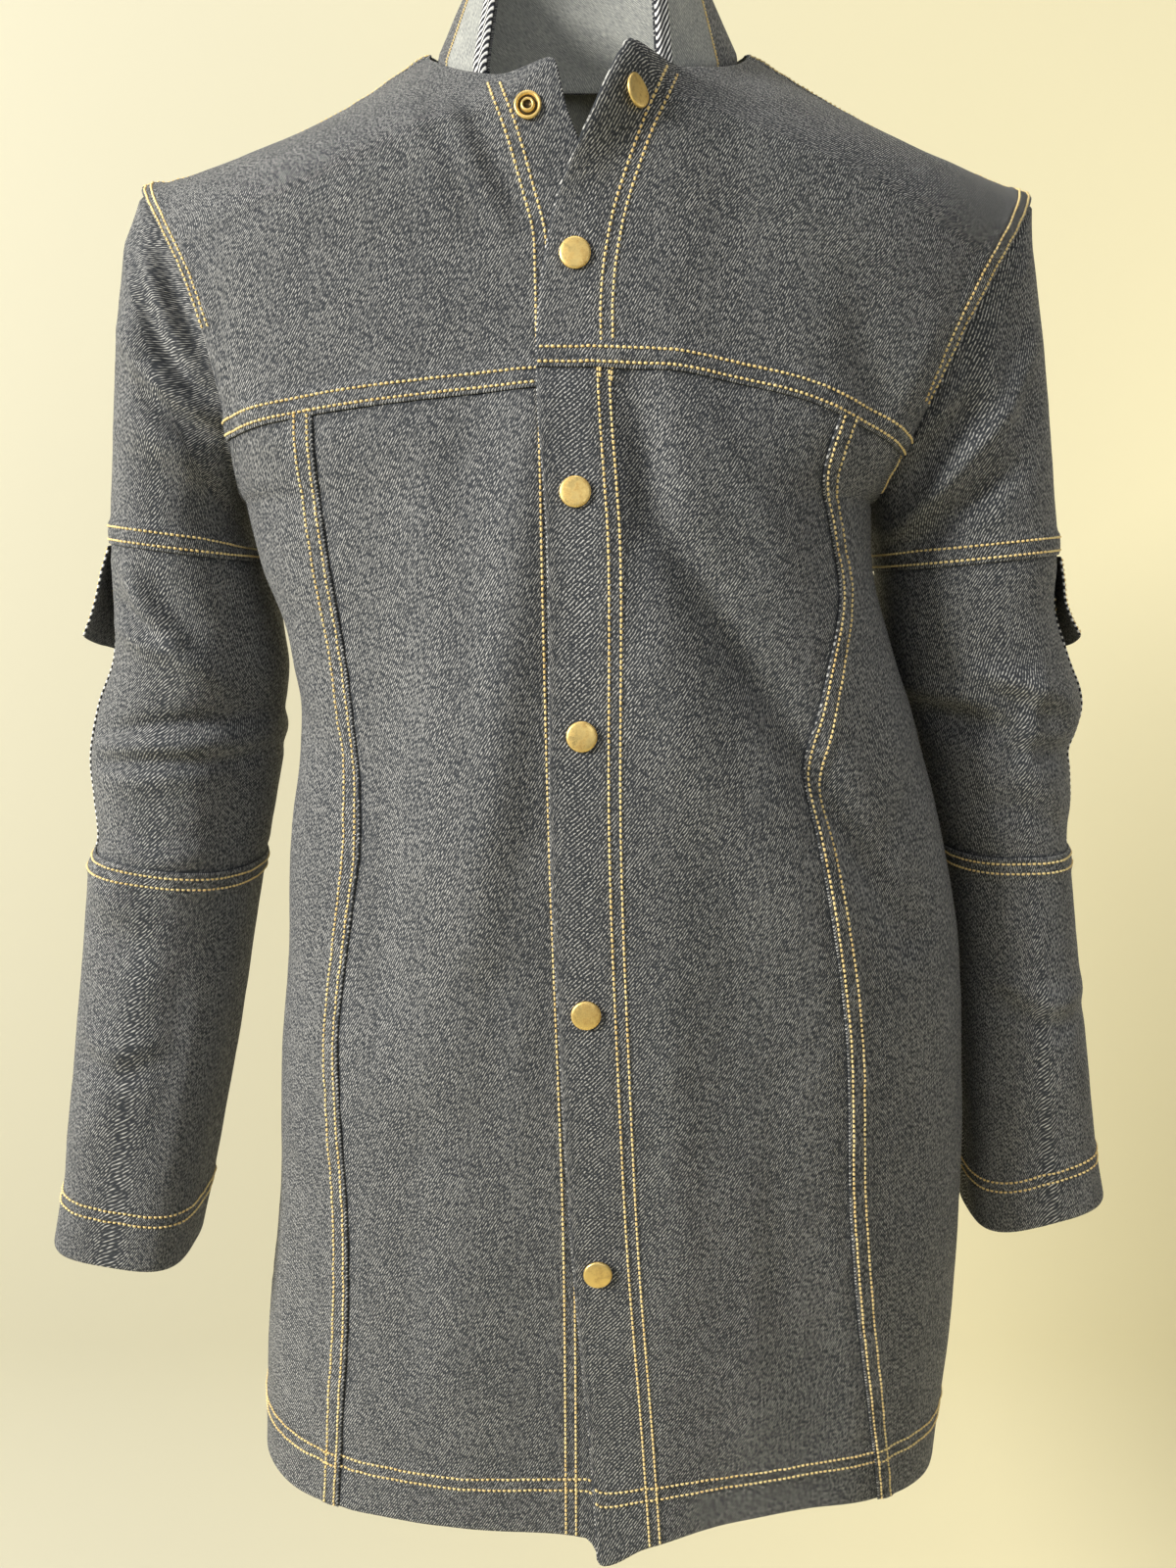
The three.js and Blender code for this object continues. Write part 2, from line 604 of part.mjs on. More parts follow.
// ---- snaps -----------------------------------------------------------------
const snapSteps = 16;
function lathe(name, centre, axis, profile) {
  const side = Math.abs(axis.z) < 0.9 ? v3(0, 0, 1) : v3(1, 0, 0);
  const ex = side.clone().cross(axis).normalize(), ey = axis.clone().cross(ex);
  const pos = [], idx = [];
  const put = (r, h, k) => {
    const a = (k / snapSteps) * 2 * Math.PI;
    const p = centre.clone().addScaledVector(axis, h).addScaledVector(ex, r * Math.cos(a)).addScaledVector(ey, r * Math.sin(a));
    pos.push(p.x, p.y, p.z);
  };
  const rings = [];
  for (const [r, h] of profile) {
    const first = pos.length / 3;
    if (r === 0) { put(0, h, 0); rings.push({ first, n: 1 }); } else {
      for (let k = 0; k < snapSteps; k++) put(r, h, k);
      rings.push({ first, n: snapSteps });
    }
  }
  for (let r = 0; r + 1 < rings.length; r++) for (let k = 0; k < snapSteps; k++) {
    const a = rings[r], b = rings[r + 1], k2 = (k + 1) % snapSteps;
    const a0 = a.first + (a.n > 1 ? k : 0), a1 = a.first + (a.n > 1 ? k2 : 0);
    const b0 = b.first + (b.n > 1 ? k : 0), b1 = b.first + (b.n > 1 ? k2 : 0);
    if (a.n > 1) idx.push(a0, a1, b0);
    if (b.n > 1) idx.push(a1, b1, b0);
  }
  addMesh(name, pos, idx, 'brass');
}
const snaps = table(`
  1   23  -44
  2   -6 -123
  3   -6 -234
  4   -3 -348
  5   -1 -486
  6    5 -628`, ['number', 'x', 'z']);
function frontAt(x, z, side) {
  let lo = 0.02, hi = neckT;
  for (let i = 0; i < 34; i++) {
    const m = (lo + hi) / 2, p = torsoBase(false, acrossAt(false, m, () => x), m);
    if (p.z < z) lo = m; else hi = m;
  }
  const q = torso(false, acrossAt(false, lo, () => x), lo);
  if (side > 0) q.p.addScaledVector(q.n, leftLift(q.p.x));
  return q;
}
for (const snap of snaps) {
  const q = frontAt(snap.x, snap.z, 1);
  lathe(`snap_cap_${snap.number}`, q.p.clone().addScaledVector(q.n, 0.5), q.n,
    [[0, 0], [capRadius - 0.6, 0], [capRadius, 0.7], [capRadius * 0.9, 1.7], [capRadius * 0.5, capHeight - 0.3], [0, capHeight]]);
}
const ringSnap = frontAt(-28, -56, -1);
lathe('snap_ring_1', ringSnap.p.clone().addScaledVector(ringSnap.n, 0.5), ringSnap.n,
  [[0, 0], [5.9, 0], [6.3, 0.7], [5.6, 1.5], [4.4, 0.9], [2.9, 0.9], [2.4, 2.0], [0, 2.0]]);

export default group;
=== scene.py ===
import math
import numpy as np
import bpy
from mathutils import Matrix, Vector


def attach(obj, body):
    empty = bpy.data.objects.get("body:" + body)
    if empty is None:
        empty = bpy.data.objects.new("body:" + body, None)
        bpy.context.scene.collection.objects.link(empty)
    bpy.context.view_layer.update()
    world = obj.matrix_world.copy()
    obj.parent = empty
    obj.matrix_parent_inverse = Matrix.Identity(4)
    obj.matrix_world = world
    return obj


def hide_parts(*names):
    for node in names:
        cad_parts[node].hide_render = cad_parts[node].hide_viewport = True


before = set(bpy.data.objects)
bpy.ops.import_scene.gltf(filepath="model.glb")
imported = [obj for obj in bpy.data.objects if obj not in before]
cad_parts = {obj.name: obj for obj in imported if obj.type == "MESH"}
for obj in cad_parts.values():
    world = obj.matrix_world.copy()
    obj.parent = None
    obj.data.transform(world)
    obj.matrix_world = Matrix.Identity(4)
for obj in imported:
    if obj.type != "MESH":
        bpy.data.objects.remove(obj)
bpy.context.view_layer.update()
mm = 0.001                       # shapes are worked out in millimetres
print("frame loaded")

# the cloth and how it is sewn, in millimetres
cloth = {"wall": 1.2, "layerGap": 0.35, "pitch": 3.3, "backPitch": 4.6,
         "seamLift": 1.15, "seamWidth": 10.0, "nearRow": 2.0, "farRow": 9.0,
         "pucker": 0.34, "puckerLength": 10.5}
wall, layerGap = cloth["wall"], cloth["layerGap"]


# ---- small helpers
def lerp(a, b, k):
    return a + (b - a) * k


def smooth(x, lo, hi):
    k = np.clip((x - lo) / (hi - lo), 0, 1)
    return k * k * (3 - 2 * k)


def unit(v):
    return v / np.maximum(np.linalg.norm(v, axis=-1, keepdims=True), 1e-9)


def curve(xs, ys):
    # smooth curve through knots
    xs, ys = np.array(xs, float), np.array(ys, float)
    d = np.empty_like(ys)
    d[0] = (ys[1] - ys[0]) / (xs[1] - xs[0])
    d[-1] = (ys[-1] - ys[-2]) / (xs[-1] - xs[-2])
    d[1:-1] = (ys[2:] - ys[:-2]) / (xs[2:] - xs[:-2])

    def at(x):
        x = np.clip(x, xs[0], xs[-1])
        i = np.clip(np.searchsorted(xs, x, side="right") - 1, 0, len(xs) - 2)
        h = xs[i + 1] - xs[i]
        k = (x - xs[i]) / h
        k2, k3 = k * k, k * k * k
        return ((2 * k3 - 3 * k2 + 1) * ys[i] + (k3 - 2 * k2 + k) * h * d[i]
                + (3 * k2 - 2 * k3) * ys[i + 1] + (k3 - k2) * h * d[i + 1])
    return at


def rowsOf(text):
    return np.array([[float(v) for v in row.split()] for row in text.strip().split("\n")])


def seam(text):
    # a line through pairs: where it is read, then its value there
    pairs = np.array(text.split(), float).reshape(-1, 2)
    pairs = pairs[np.argsort(pairs[:, 0])]
    return curve(pairs[:, 0], pairs[:, 1])


cloudTables = {}


def cloud(p, size, seed):
    # smooth random field through space, about -1 to 1
    if seed not in cloudTables:
        cloudTables[seed] = np.random.default_rng(seed).uniform(-1, 1, (32, 32, 32))
    g = cloudTables[seed]
    q = p / size + 100.0
    i = np.floor(q).astype(int)
    f = q - i
    f = f * f * (3 - 2 * f)
    i = i % 32
    j = (i + 1) % 32
    total = 0
    for a in (0, 1):
        for b in (0, 1):
            for c in (0, 1):
                w = ((f[..., 0] if a else 1 - f[..., 0]) * (f[..., 1] if b else 1 - f[..., 1])
                     * (f[..., 2] if c else 1 - f[..., 2]))
                total = total + w * g[(j if a else i)[..., 0], (j if b else i)[..., 1], (j if c else i)[..., 2]]
    return total


# ---- torso surface
def vec(x, y, z):
    return np.stack(np.broadcast_arrays(np.asarray(x, float), y, z), -1)


neck = {"half": 84, "front": 88, "back": 62, "pit": -38, "pitRise": 39, "nape": 1, "napeDip": 12,
        "sag": (46, 24)}


def neckline(angle):                     # 0 front, 90 side, 180 back
    a = np.radians(angle)
    c = np.cos(a)
    front = c > 0
    return vec(neck["half"] * np.sin(a), -c * np.where(front, neck["front"], neck["back"]),
               np.where(front, neck["pit"] + neck["pitRise"] * (1 - c), neck["nape"] - neck["napeDip"] * c))


armholes = {-1: {"top": (-240, 5, -66), "bottom": (-190, -4, -232), "front": 58, "back": 60, "scoop": 20},
            1: {"top": (238, 5, -70), "bottom": (156, -4, -232), "front": 58, "back": 60, "scoop": 7}}


def armhole(side, angle):                # 0 top, 90 front, 180 underarm, 270 back
    h = armholes[side]
    a = np.radians(np.asarray(angle, float))
    top, bottom = np.array(h["top"], float), np.array(h["bottom"], float)
    p = (top + bottom) / 2 + (top - bottom) * (np.cos(a) / 2)[..., None]
    s = np.sin(a)
    p[..., 1] -= s * np.where(s > 0, h["front"], h["back"])
    p[..., 0] -= side * h["scoop"] * s * s * np.where(s > 0, 1, 0.6)
    return p


# t, z, front depth, back depth, half width right, half width left, z at the sides
bodyRows = rowsOf("""
0.00 -790 118 116 203 218 -800
0.10 -715 120 120 198 225 -718
0.22 -634 123 124 187 226 -634
0.34 -545 126 122 182 222 -545
0.43 -484 126 114 175 217 -484
0.52 -420 125 104 171 204 -420
0.60 -358 122 98 163 187 -358
0.67 -300 117 98 168 168 -304
0.72 -262 113 102 180 158 -270
0.77 -232 109 106 190 156 -232""")
# t, armhole angle, z, front depth, neck angle, wrap, z back, back depth, back neck angle
upperRows = rowsOf("""
0.77 180 -232 109 0 88 -232 106 0
0.81 140 -196 103 0 82 -186 111 0
0.85 115 -152 96 0 78 -140 114 0
0.89 90 -100 91 0 72 -92 109 0
0.93 65 -38 88 0 66 -40 97 0
0.95 48 -33 76 30 62 13 62 180
0.975 24 -18 40 62 52 6 40 130
1.00 0 1 0 90 38 1 0 90""")
underarm, neckT, neckBackT, square, bodyLength = 0.77, 0.93, 0.95, 2.35, 790
allT = np.concatenate([bodyRows[:-1, 0], upperRows[:, 0]])


def joined(a, b):
    return curve(allT, np.concatenate([bodyRows[:-1, a], upperRows[:, b]]))


centreZ, centreF, centreZb, centreB = joined(1, 2), joined(2, 3), joined(1, 6), joined(3, 7)
wrapAt = curve(allT, np.concatenate([np.full(9, 90.0), upperRows[:, 5]]))
halfRight, halfLeft, sideZ = (curve(bodyRows[:, 0], bodyRows[:, c]) for c in (4, 5, 6))
armAngle = curve(upperRows[:, 0], upperRows[:, 1])


def torsoBase(back, across, t):
    # across runs -1 right side .. 0 centre .. 1 left side
    across, t = np.broadcast_arrays(np.asarray(across, float), np.asarray(t, float))
    t0 = np.clip(t, 0, 1)
    side = np.where(across < 0, -1.0, 1.0)
    u = np.abs(across)
    neckFrom = neckBackT if back else neckT
    turn = 90 * np.clip((t0 - neckFrom) / (1 - neckFrom), 0, 1) ** 0.8
    middle = vec(0, centreB(t0), centreZb(t0)) if back else vec(0, -centreF(t0), centreZ(t0))
    a = np.where((t0 > neckFrom)[..., None], neckline(180 - turn if back else turn), middle)
    angle = 360 - armAngle(t0) if back else armAngle(t0)
    arm = np.where((side < 0)[..., None], armhole(-1, angle), armhole(1, angle))
    low = vec(side * np.where(side < 0, halfRight(t0), halfLeft(t0)), -4, sideZ(t0))
    b = np.where((t0 >= underarm)[..., None], arm, low)
    w = np.radians(np.clip(wrapAt(t0), 5, 90))
    e = 2 / square
    uw = np.clip(u * w, 0, np.pi / 2)
    f = (np.sin(uw) / np.sin(w)) ** e
    g = (1 - np.cos(uw) ** e) / (1 - np.clip(np.cos(w), 0, 1) ** e)
    p = np.stack([lerp(a[..., 0] * side, b[..., 0], f), lerp(a[..., 1], b[..., 1], g),
                  lerp(a[..., 2], b[..., 2], f)], -1)
    sag = np.where(side < 0, *neck["sag"]) * f * (1 - f) * np.clip((t0 - neckT) / (1 - neckT), 0, 1)
    p[..., 2] -= np.where(t0 > neckT, sag, 0)
    p[..., 2] += np.where(t < 0, t * bodyLength, 0)   # a hem turned under runs on below the first row
    return p


def foldsOf(text):
    # one fold a row: half width, depth (+ outward), then the points of its line in the front view, x z x z ...
    return [[float(v) for v in row.split()] for row in text.strip().split("\n")]


bodyFolds = foldsOf("""
11 -7.5 20 -186 36 -250 62 -290 94 -336 118 -375 141 -413 170 -459
20 4.0 -2 -205 10 -262 34 -318 66 -370 94 -415 120 -462
18 2.5 70 -215 100 -280 132 -330
9 -3.5 -58 -48 -44 -80 -30 -105
14 -4.0 131 -137 140 -170 148 -200
10 3.0 176 -150 150 -215
12 2.5 -185 -165 -150 -215
22 2.5 -70 -260 -62 -400 -62 -520
18 -3.0 -100 -231 -92 -300 -87 -382
26 2.5 -60 -600 -75 -770
26 2.0 70 -560 80 -760
22 -2.5 120 -600 130 -770
12 -2.0 -170 -330 -120 -380
12 -2.0 186 -360 150 -420
7 1.6 -84 -34 -80 -70 -64 -104
6 2.4 -66 -50 -53 -82 -39 -108
8 -1.6 30 -190 24 -250 22 -310
15 6.5 -27 -192 -33 -250 -38 -310 -43 -372 -52 -450
25 -7.0 -118 -250 -114 -330 -112 -400 -110 -480
26 3.0 -70 -330 -76 -420 -84 -520
9 -1.5 -60 -198 -66 -270
7 1.4 52 -188 78 -236 100 -262
9 -1.4 -112 -330 -104 -420 -112 -520
10 1.4 -30 -420 -36 -560
12 -1.5 -92 -560 -98 -700
10 1.4 40 -470 52 -640
12 -1.4 96 -520 104 -700
8 1.6 184 -560 190 -700
8 -1.5 -164 -600 -170 -740""")
backFolds = foldsOf("""
16 -4.0 -120 -190 -60 -260
16 -4.0 110 -190 60 -250
26 3.5 -60 -360 -80 -640
26 3.5 70 -360 90 -640
22 -3.0 0 -420 5 -700
14 -3.0 -150 -330 -110 -370
14 -3.0 150 -340 120 -390
9 2.2 -150 -150 -96 -214 -40 -244
9 2.2 146 -150 96 -206 44 -236
8 -1.8 -30 -60 -34 -160
8 -1.6 40 -70 36 -150
10 -1.8 -118 -420 -112 -600
10 1.6 118 -440 122 -640
9 1.8 -40 -300 6 -322 60 -306
9 -1.8 -70 -330 0 -350 70 -334""")


def foldSum(folds, x, z):
    total = np.zeros_like(x)
    for width, depth, *pts in folds:
        best, at, whole = np.full(x.shape, 1e9), np.zeros_like(x), 0
        for x1, z1, x2, z2 in zip(pts[0::2], pts[1::2], pts[2::2], pts[3::2]):
            dx, dz = x2 - x1, z2 - z1
            c = np.clip(((x - x1) * dx + (z - z1) * dz) / (dx * dx + dz * dz), 0, 1)
            d2 = (x - x1 - c * dx) ** 2 + (z - z1 - c * dz) ** 2
            near, length = d2 < best, math.hypot(dx, dz)
            best, at = np.where(near, d2, best), np.where(near, whole + c * length, at)
            whole += length
        # a fold dies away towards its ends
        ends = np.sin(np.pi * np.clip(0.94 * at / whole + 0.03, 0, 1)) ** 0.6
        total += depth * np.exp(-best / width ** 2) * (0.3 + 0.7 * ends)
    return total


def torso(back, across, t):
    p = torsoBase(back, across, t)
    tt, aa = np.clip(t, 0.002, 0.992), np.clip(across, -0.985, 0.985)
    aa = np.where(np.abs(aa) < 0.004, 0.004, aa)

    def normal(rear):
        du = torsoBase(rear, aa + 1e-3, tt) - torsoBase(rear, aa - 1e-3, tt)
        dv = torsoBase(rear, aa, tt + 1e-3) - torsoBase(rear, aa, tt - 1e-3)
        return unit(np.cross(du, dv)) * (-1 if rear else 1)
    n = normal(back)
    shared = (np.asarray(t) > 0.999) | (np.abs(across) > 0.999)
    n = np.where(shared[..., None], unit(n + normal(not back)), n)
    edge = np.clip((1 - np.abs(across)) * 6, 0, 1) * np.clip((1 - np.asarray(t)) * 14, 0, 1)
    d = edge * foldSum(backFolds if back else bodyFolds, p[..., 0], p[..., 2])
    return p + n * d[..., None], n


# ---- seam lines in the front view: x at each z, and for yoke and hem z or drop at each x
frontEdge = seam("-14 27 -38 16.5 -62 3.5 -75 -4 -96 -14 -136 -22 -177 -24 -259 -19 -401 -18 -505 -14"
                 " -619 -8 -720 0 -800 6")
underEdge = seam("-20 -19 -57 -11 -75 -3 -100 4 -136 10 -200 11 -400 15 -600 21 -800 22")
princess = {-1: seam("-180 -136 -224 -135 -255 -133 -288 -130 -324 -126 -404 -121 -442 -125 -493 -131"
                     " -540 -133 -640 -131 -727 -137 -800 -143"),
            1: seam("-180 130 -220 117 -248 122 -280 127 -320 119 -373 110.5 -400 115 -438 122 -509 134"
                    " -600 140 -668 148 -733 158 -800 168")}
yokeLine = {-1: seam("-200 -204 -152 -196 -92 -189 0 -182 40 -182"),
            1: seam("-40 -175 40 -176 75 -181 109 -188 142 -200 170 -212")}
hemDrop = seam("-210 4 -120 -3 -60 -2 0 4 8 17 32 5 70 -4 125 -8 180 2 215 10")


def halve(shape, lo, hi, pointOf, short):
    # the value between lo and hi where short(pointOf(value)) stops being true
    lo, hi = np.full(shape, float(lo)), np.full(shape, float(hi))
    for _ in range(30):
        m = (lo + hi) / 2
        less = short(pointOf(m))
        lo, hi = np.where(less, m, lo), np.where(less, hi, m)
    return (lo + hi) / 2


def acrossAt(t, wantX):
    t = np.asarray(t, float)
    return halve(t.shape, -0.98, 0.98, lambda m: torsoBase(False, m, t), lambda p: p[..., 0] < wantX(p[..., 2]))


def rowAt(acrossOf, wantZ, k):
    return halve(k.shape, 0.5, 0.98, lambda m: torsoBase(False, acrossOf(k, m), m),
                 lambda p: p[..., 2] < wantZ(p[..., 0]))


overlapLift = 2 * (wall + layerGap) + 1.3


def leftLift(x):
    return overlapLift * (1 - smooth(x, 34, 80))


# the top corner of the left front curls forward; the neck edge of each front dips beside its corner
curl = {"forward": 14, "width": 28, "from": -100, "to": -50}
neckWave = {-1: seam("-90 0 -75 -2 -54 -4 -41 -4 -28 0 -18 3.4 0 3.4"),
            1: seam("14 3 22 1.5 30 -2 40 -5 55 -4 75 -2 90 0")}


def neckCorner(side, x, z):                  # forward and up
    forward = (curl["forward"] * (1 - smooth(x - frontEdge(z), 0, curl["width"]))
               * smooth(z, curl["from"], curl["to"]))
    return forward * (side > 0), neckWave[side](x) * smooth(z, -78, -42)


tSamples = np.linspace(0, 1, 501)


def table(values, samples=tSamples):
    return lambda t: np.interp(t, samples, values)


def frontPoint(side, across, t):
    p, n = torso(False, across, t)
    low = np.clip((0.1 - t) / 0.1, 0, 1)
    forward, up = neckCorner(side, p[..., 0], p[..., 2])
    near = [neckCorner(side, p[..., 0] + step, p[..., 2])[0] for step in (4, -4)]
    slope = (near[0] - near[1]) / 8
    drop = low * low * hemDrop(p[..., 0]) * np.where(t < 0, 0, 1) + np.where(t < 0, hemDrop(p[..., 0]), 0)
    if side > 0:
        p = p + n * leftLift(p[..., 0])[..., None]
    p = p + vec(0, -forward, up - drop)
    n = unit(n - vec(slope * np.abs(n[..., 1]), 0, 0))
    return p, n


fronts = {}
kSamples = np.linspace(0, 1, 61)
for side in (-1, 1):
    edge = acrossAt(tSamples, frontEdge if side > 0 else underEdge)
    edge = np.where(tSamples > neckT, np.maximum(edge, 0) if side > 0 else np.minimum(edge, 0), edge)
    middle = acrossAt(tSamples, princess[side])
    edgeU, seamU = table(edge), table(middle)
    centreU = lambda k, t, a=edgeU, b=seamU: lerp(a(t), b(t), k)
    sideU = lambda k, t, b=seamU, s=side: lerp(b(t), float(s), k)
    centreTop = table(rowAt(centreU, yokeLine[side], kSamples), kSamples)
    sideTop = table(rowAt(sideU, yokeLine[side], kSamples), kSamples)
    # the yoke runs over both lower panels: its lower edge in one table
    low = np.concatenate([centreTop(kSamples), sideTop(kSamples[1:])])
    uu = np.concatenate([centreU(kSamples, low[:61]), sideU(kSamples[1:], low[61:])])
    part = (uu - edgeU(low)) / (side - edgeU(low))
    fronts[side] = {"edgeU": edgeU, "centreU": centreU, "sideU": sideU, "centreTop": centreTop,
                    "sideTop": sideTop, "yokeLow": table(low, part)}
print("torso lines ready")

# ---- sleeves
sleeveRows = {-1: rowsOf("""
0.10 -246 -92 -197 -243 6 59 61
0.20 -254 -135 -196 -249 9 60 62
0.30 -260 -180 -195 -254 11 60 62
0.38 -264.5 -218 -193 -259 12 60 62
0.46 -268 -256 -189 -265 12 61 60
0.54 -270.5 -316 -179 -320 12 61 60
0.58 -282 -346 -182 -350 12 60 61
0.61 -287.5 -372 -184 -376 9 59 62
0.66 -286.5 -400 -189 -409 6 57 60
0.69 -285 -420 -194 -432 3 56 58
0.72 -290 -438 -198 -450 0 55 57
0.80 -295 -500 -206 -505 -10 51 53
0.88 -299 -566 -216 -566 -24 48 50
0.95 -303 -618 -226 -622 -35 42 42
1.00 -308 -648 -234 -662 -43 36 36"""), 1: rowsOf("""
0.10 238 -94 163 -243 6 58 61
0.20 247 -137 165 -250 9 59 62
0.30 255 -180 167 -255 12 60 62
0.38 261 -220 169 -261 14 60 62
0.46 266.5 -262 170 -270 15 60 61
0.50 266 -289 172 -296 15 60 61
0.54 275.5 -317 177 -324 15 60 61
0.58 285.5 -344 190 -354 15 59 61
0.61 280.5 -370 197 -376 14 58 61
0.66 281.5 -400 204 -402 13 58 60
0.69 280.5 -420 210 -424 12 57 59
0.72 284.5 -438 214 -440 12 56 58
0.80 292 -500 223 -500 8 53 55
0.88 300 -562 228 -564 4 50 52
0.95 308 -612 233 -620 0 43 43
1.00 314 -640 238 -662 -4 37 37""")}
sleeveFolds = {-1: foldsOf("""
7 4.5 -240 -145 -231 -166 -214 -181 -188 -196
7 -3.5 -235 -162 -225 -181 -208 -194 -185 -207
6 -4.0 -227 -134 -215 -159 -202 -175 -190 -185
5.5 3.5 -227 -108 -219 -134 -212 -153 -202 -168 -191 -174
5 -3.5 -220 -101 -209 -129 -200 -151 -192 -165
9 2.5 -238 -190 -226 -200 -209 -212 -194 -222
10 -2.0 -232 -215 -212 -225 -192 -235
5.5 3.5 -246 -271 -237 -289 -221 -305
9 -2.5 -236 -272 -219 -293 -204 -304
6 3.2 -256 -298 -238 -307 -223 -312 -205 -325 -195 -333
4 -2.2 -255 -284 -243 -295 -230 -307
14 -3.0 -182 -299 -190 -352
5 -4.0 -266 -357 -241 -353 -214 -351 -176 -350
8 3.0 -269 -364 -253 -363 -215 -364 -169 -361
4.5 -3.5 -269 -373 -226 -372 -194 -373 -170 -370
8 1.5 -265 -382 -216 -380
12 -4.0 -194 -379 -197 -429
10 2.5 -277 -438 -253 -455
10 -1.5 -276 -463 -249 -478
14 1.5 -250 -492 -279 -587
12 -2.0 -220 -458 -239 -587
6 1.5 -262 -420 -240 -428 -214 -424
6 1.4 -286 -520 -262 -532 -240 -528
6 -1.4 -284 -536 -262 -546 -242 -542"""), 1: foldsOf("""
7 3.5 168 -250 186 -227 201 -207
6 2.8 168 -207 179 -190 189 -175
8 -3.0 175 -262 195 -240 225 -215
7 -2.4 170 -222 186 -204 200 -186
6 2.0 205 -205 222 -184 236 -150
14 -2.5 215 -120 235 -200
7 3.0 213 -325 237 -331 263 -340
7 -2.5 218 -333 240 -342 262 -352
8 -4.0 174 -344 200 -350 225 -354
7 2.4 177 -336 214 -338 238 -346
7 -2.5 235 -366 285 -372
6 1.8 246 -325 243 -374 261 -401
8 -1.6 222 -396 250 -400 270 -412
16 -1.5 240 -420 260 -600
12 1.5 250 -470 280 -560
7 1.4 236 -500 262 -512 290 -506
7 -1.4 238 -514 264 -526 290 -520""")}
sleeveCurves = {s: [curve(sleeveRows[s][:, 0], sleeveRows[s][:, c]) for c in range(1, 8)] for s in (-1, 1)}
roundness, cuffRoundness, headStep, headReach = 2.4, 3.4, 0.03, 2.8
foldDepth = {-1: 1.6, 1: 2.2}


def sleeveBase(side, angle, s):              # angle 0 outer, 90 front, 180 inner, 270 back
    angle, s = np.broadcast_arrays(np.asarray(angle, float), np.asarray(s, float))
    a, e = np.radians(angle), 2 / lerp(roundness, cuffRoundness, smooth(s, 0.7, 1))
    c = np.sign(np.cos(a)) * np.abs(np.cos(a)) ** e
    d = np.sign(np.sin(a)) * np.abs(np.sin(a)) ** e
    ox, oz, ix, iz, y, f, b = sleeveCurves[side]

    def ring(r):
        o, i = vec(ox(r), y(r), oz(r)), vec(ix(r), y(r), iz(r))
        p = (o + i) / 2 + (o - i) * (c / 2)[..., None]
        p[..., 1] -= d * np.where(d > 0, f(r), b(r))
        return p
    full = ring(np.maximum(s, 0.1))
    h = armholes[side]
    mid = (np.array(h["top"], float) + np.array(h["bottom"], float)) / 2
    mid[1] = 0
    rim = armhole(side, angle)
    rim = rim + unit(mid - rim) * (wall + 2.3)
    head = rim.copy()
    head[..., 0] += side * lerp(-2, headReach, np.clip(s / headStep, 0, 1))
    k = np.clip((s - headStep) / (0.1 - headStep), 0, 1)[..., None]
    return np.where((s >= 0.1)[..., None], full, lerp(head, ring(np.full(s.shape, 0.1)), k))


def sleeve(side, angle, s):
    p = sleeveBase(side, angle, s)
    ss = np.clip(s, 0.004, 0.996)
    da = sleeveBase(side, angle + 0.5, ss) - sleeveBase(side, angle - 0.5, ss)
    ds = sleeveBase(side, angle, ss + 2e-3) - sleeveBase(side, angle, ss - 2e-3)
    n = unit(np.cross(da, ds)) * side
    fade = np.clip(s * 14, 0, 1) * np.clip((1 - s) * 20, 0, 1)
    near = np.where(n[..., 1] < 0, 1, 0.8)
    folds = foldSum(sleeveFolds[side], p[..., 0], p[..., 2])
    d = foldDepth[side] * folds * np.abs(n[..., 1]) ** 0.7 * fade * near
    return p + n * d[..., None], n


# ---- cloth meshes
def cumulative(p, axis):
    step = np.linalg.norm(np.diff(p, axis=axis), axis=-1)
    return np.concatenate([np.zeros_like(np.take(step, [0], axis)), np.cumsum(step, axis)], axis)


def places(length, start, end, mid):
    # distances along each line: fixed steps near both ends, even steps between
    length = np.asarray(length, float)[:, None]
    a = np.repeat(np.array([start], float), len(length), 0)
    b = length - np.array([end], float)[:, ::-1]
    k = np.linspace(0, 1, mid + 1)[None, 1:-1]
    return np.concatenate([a, a[:, -1:] + (b[:, :1] - a[:, -1:]) * k, b], 1)


def interpRows(x, xs, ys):
    # for each row r: ys[r] as a function of xs[r], read at x[r]
    return np.stack([np.interp(x[r], xs[r], ys[r]) for r in range(len(x))])


def readAt(x, xs, rows):
    return np.stack([np.interp(x, xs, row) for row in rows])


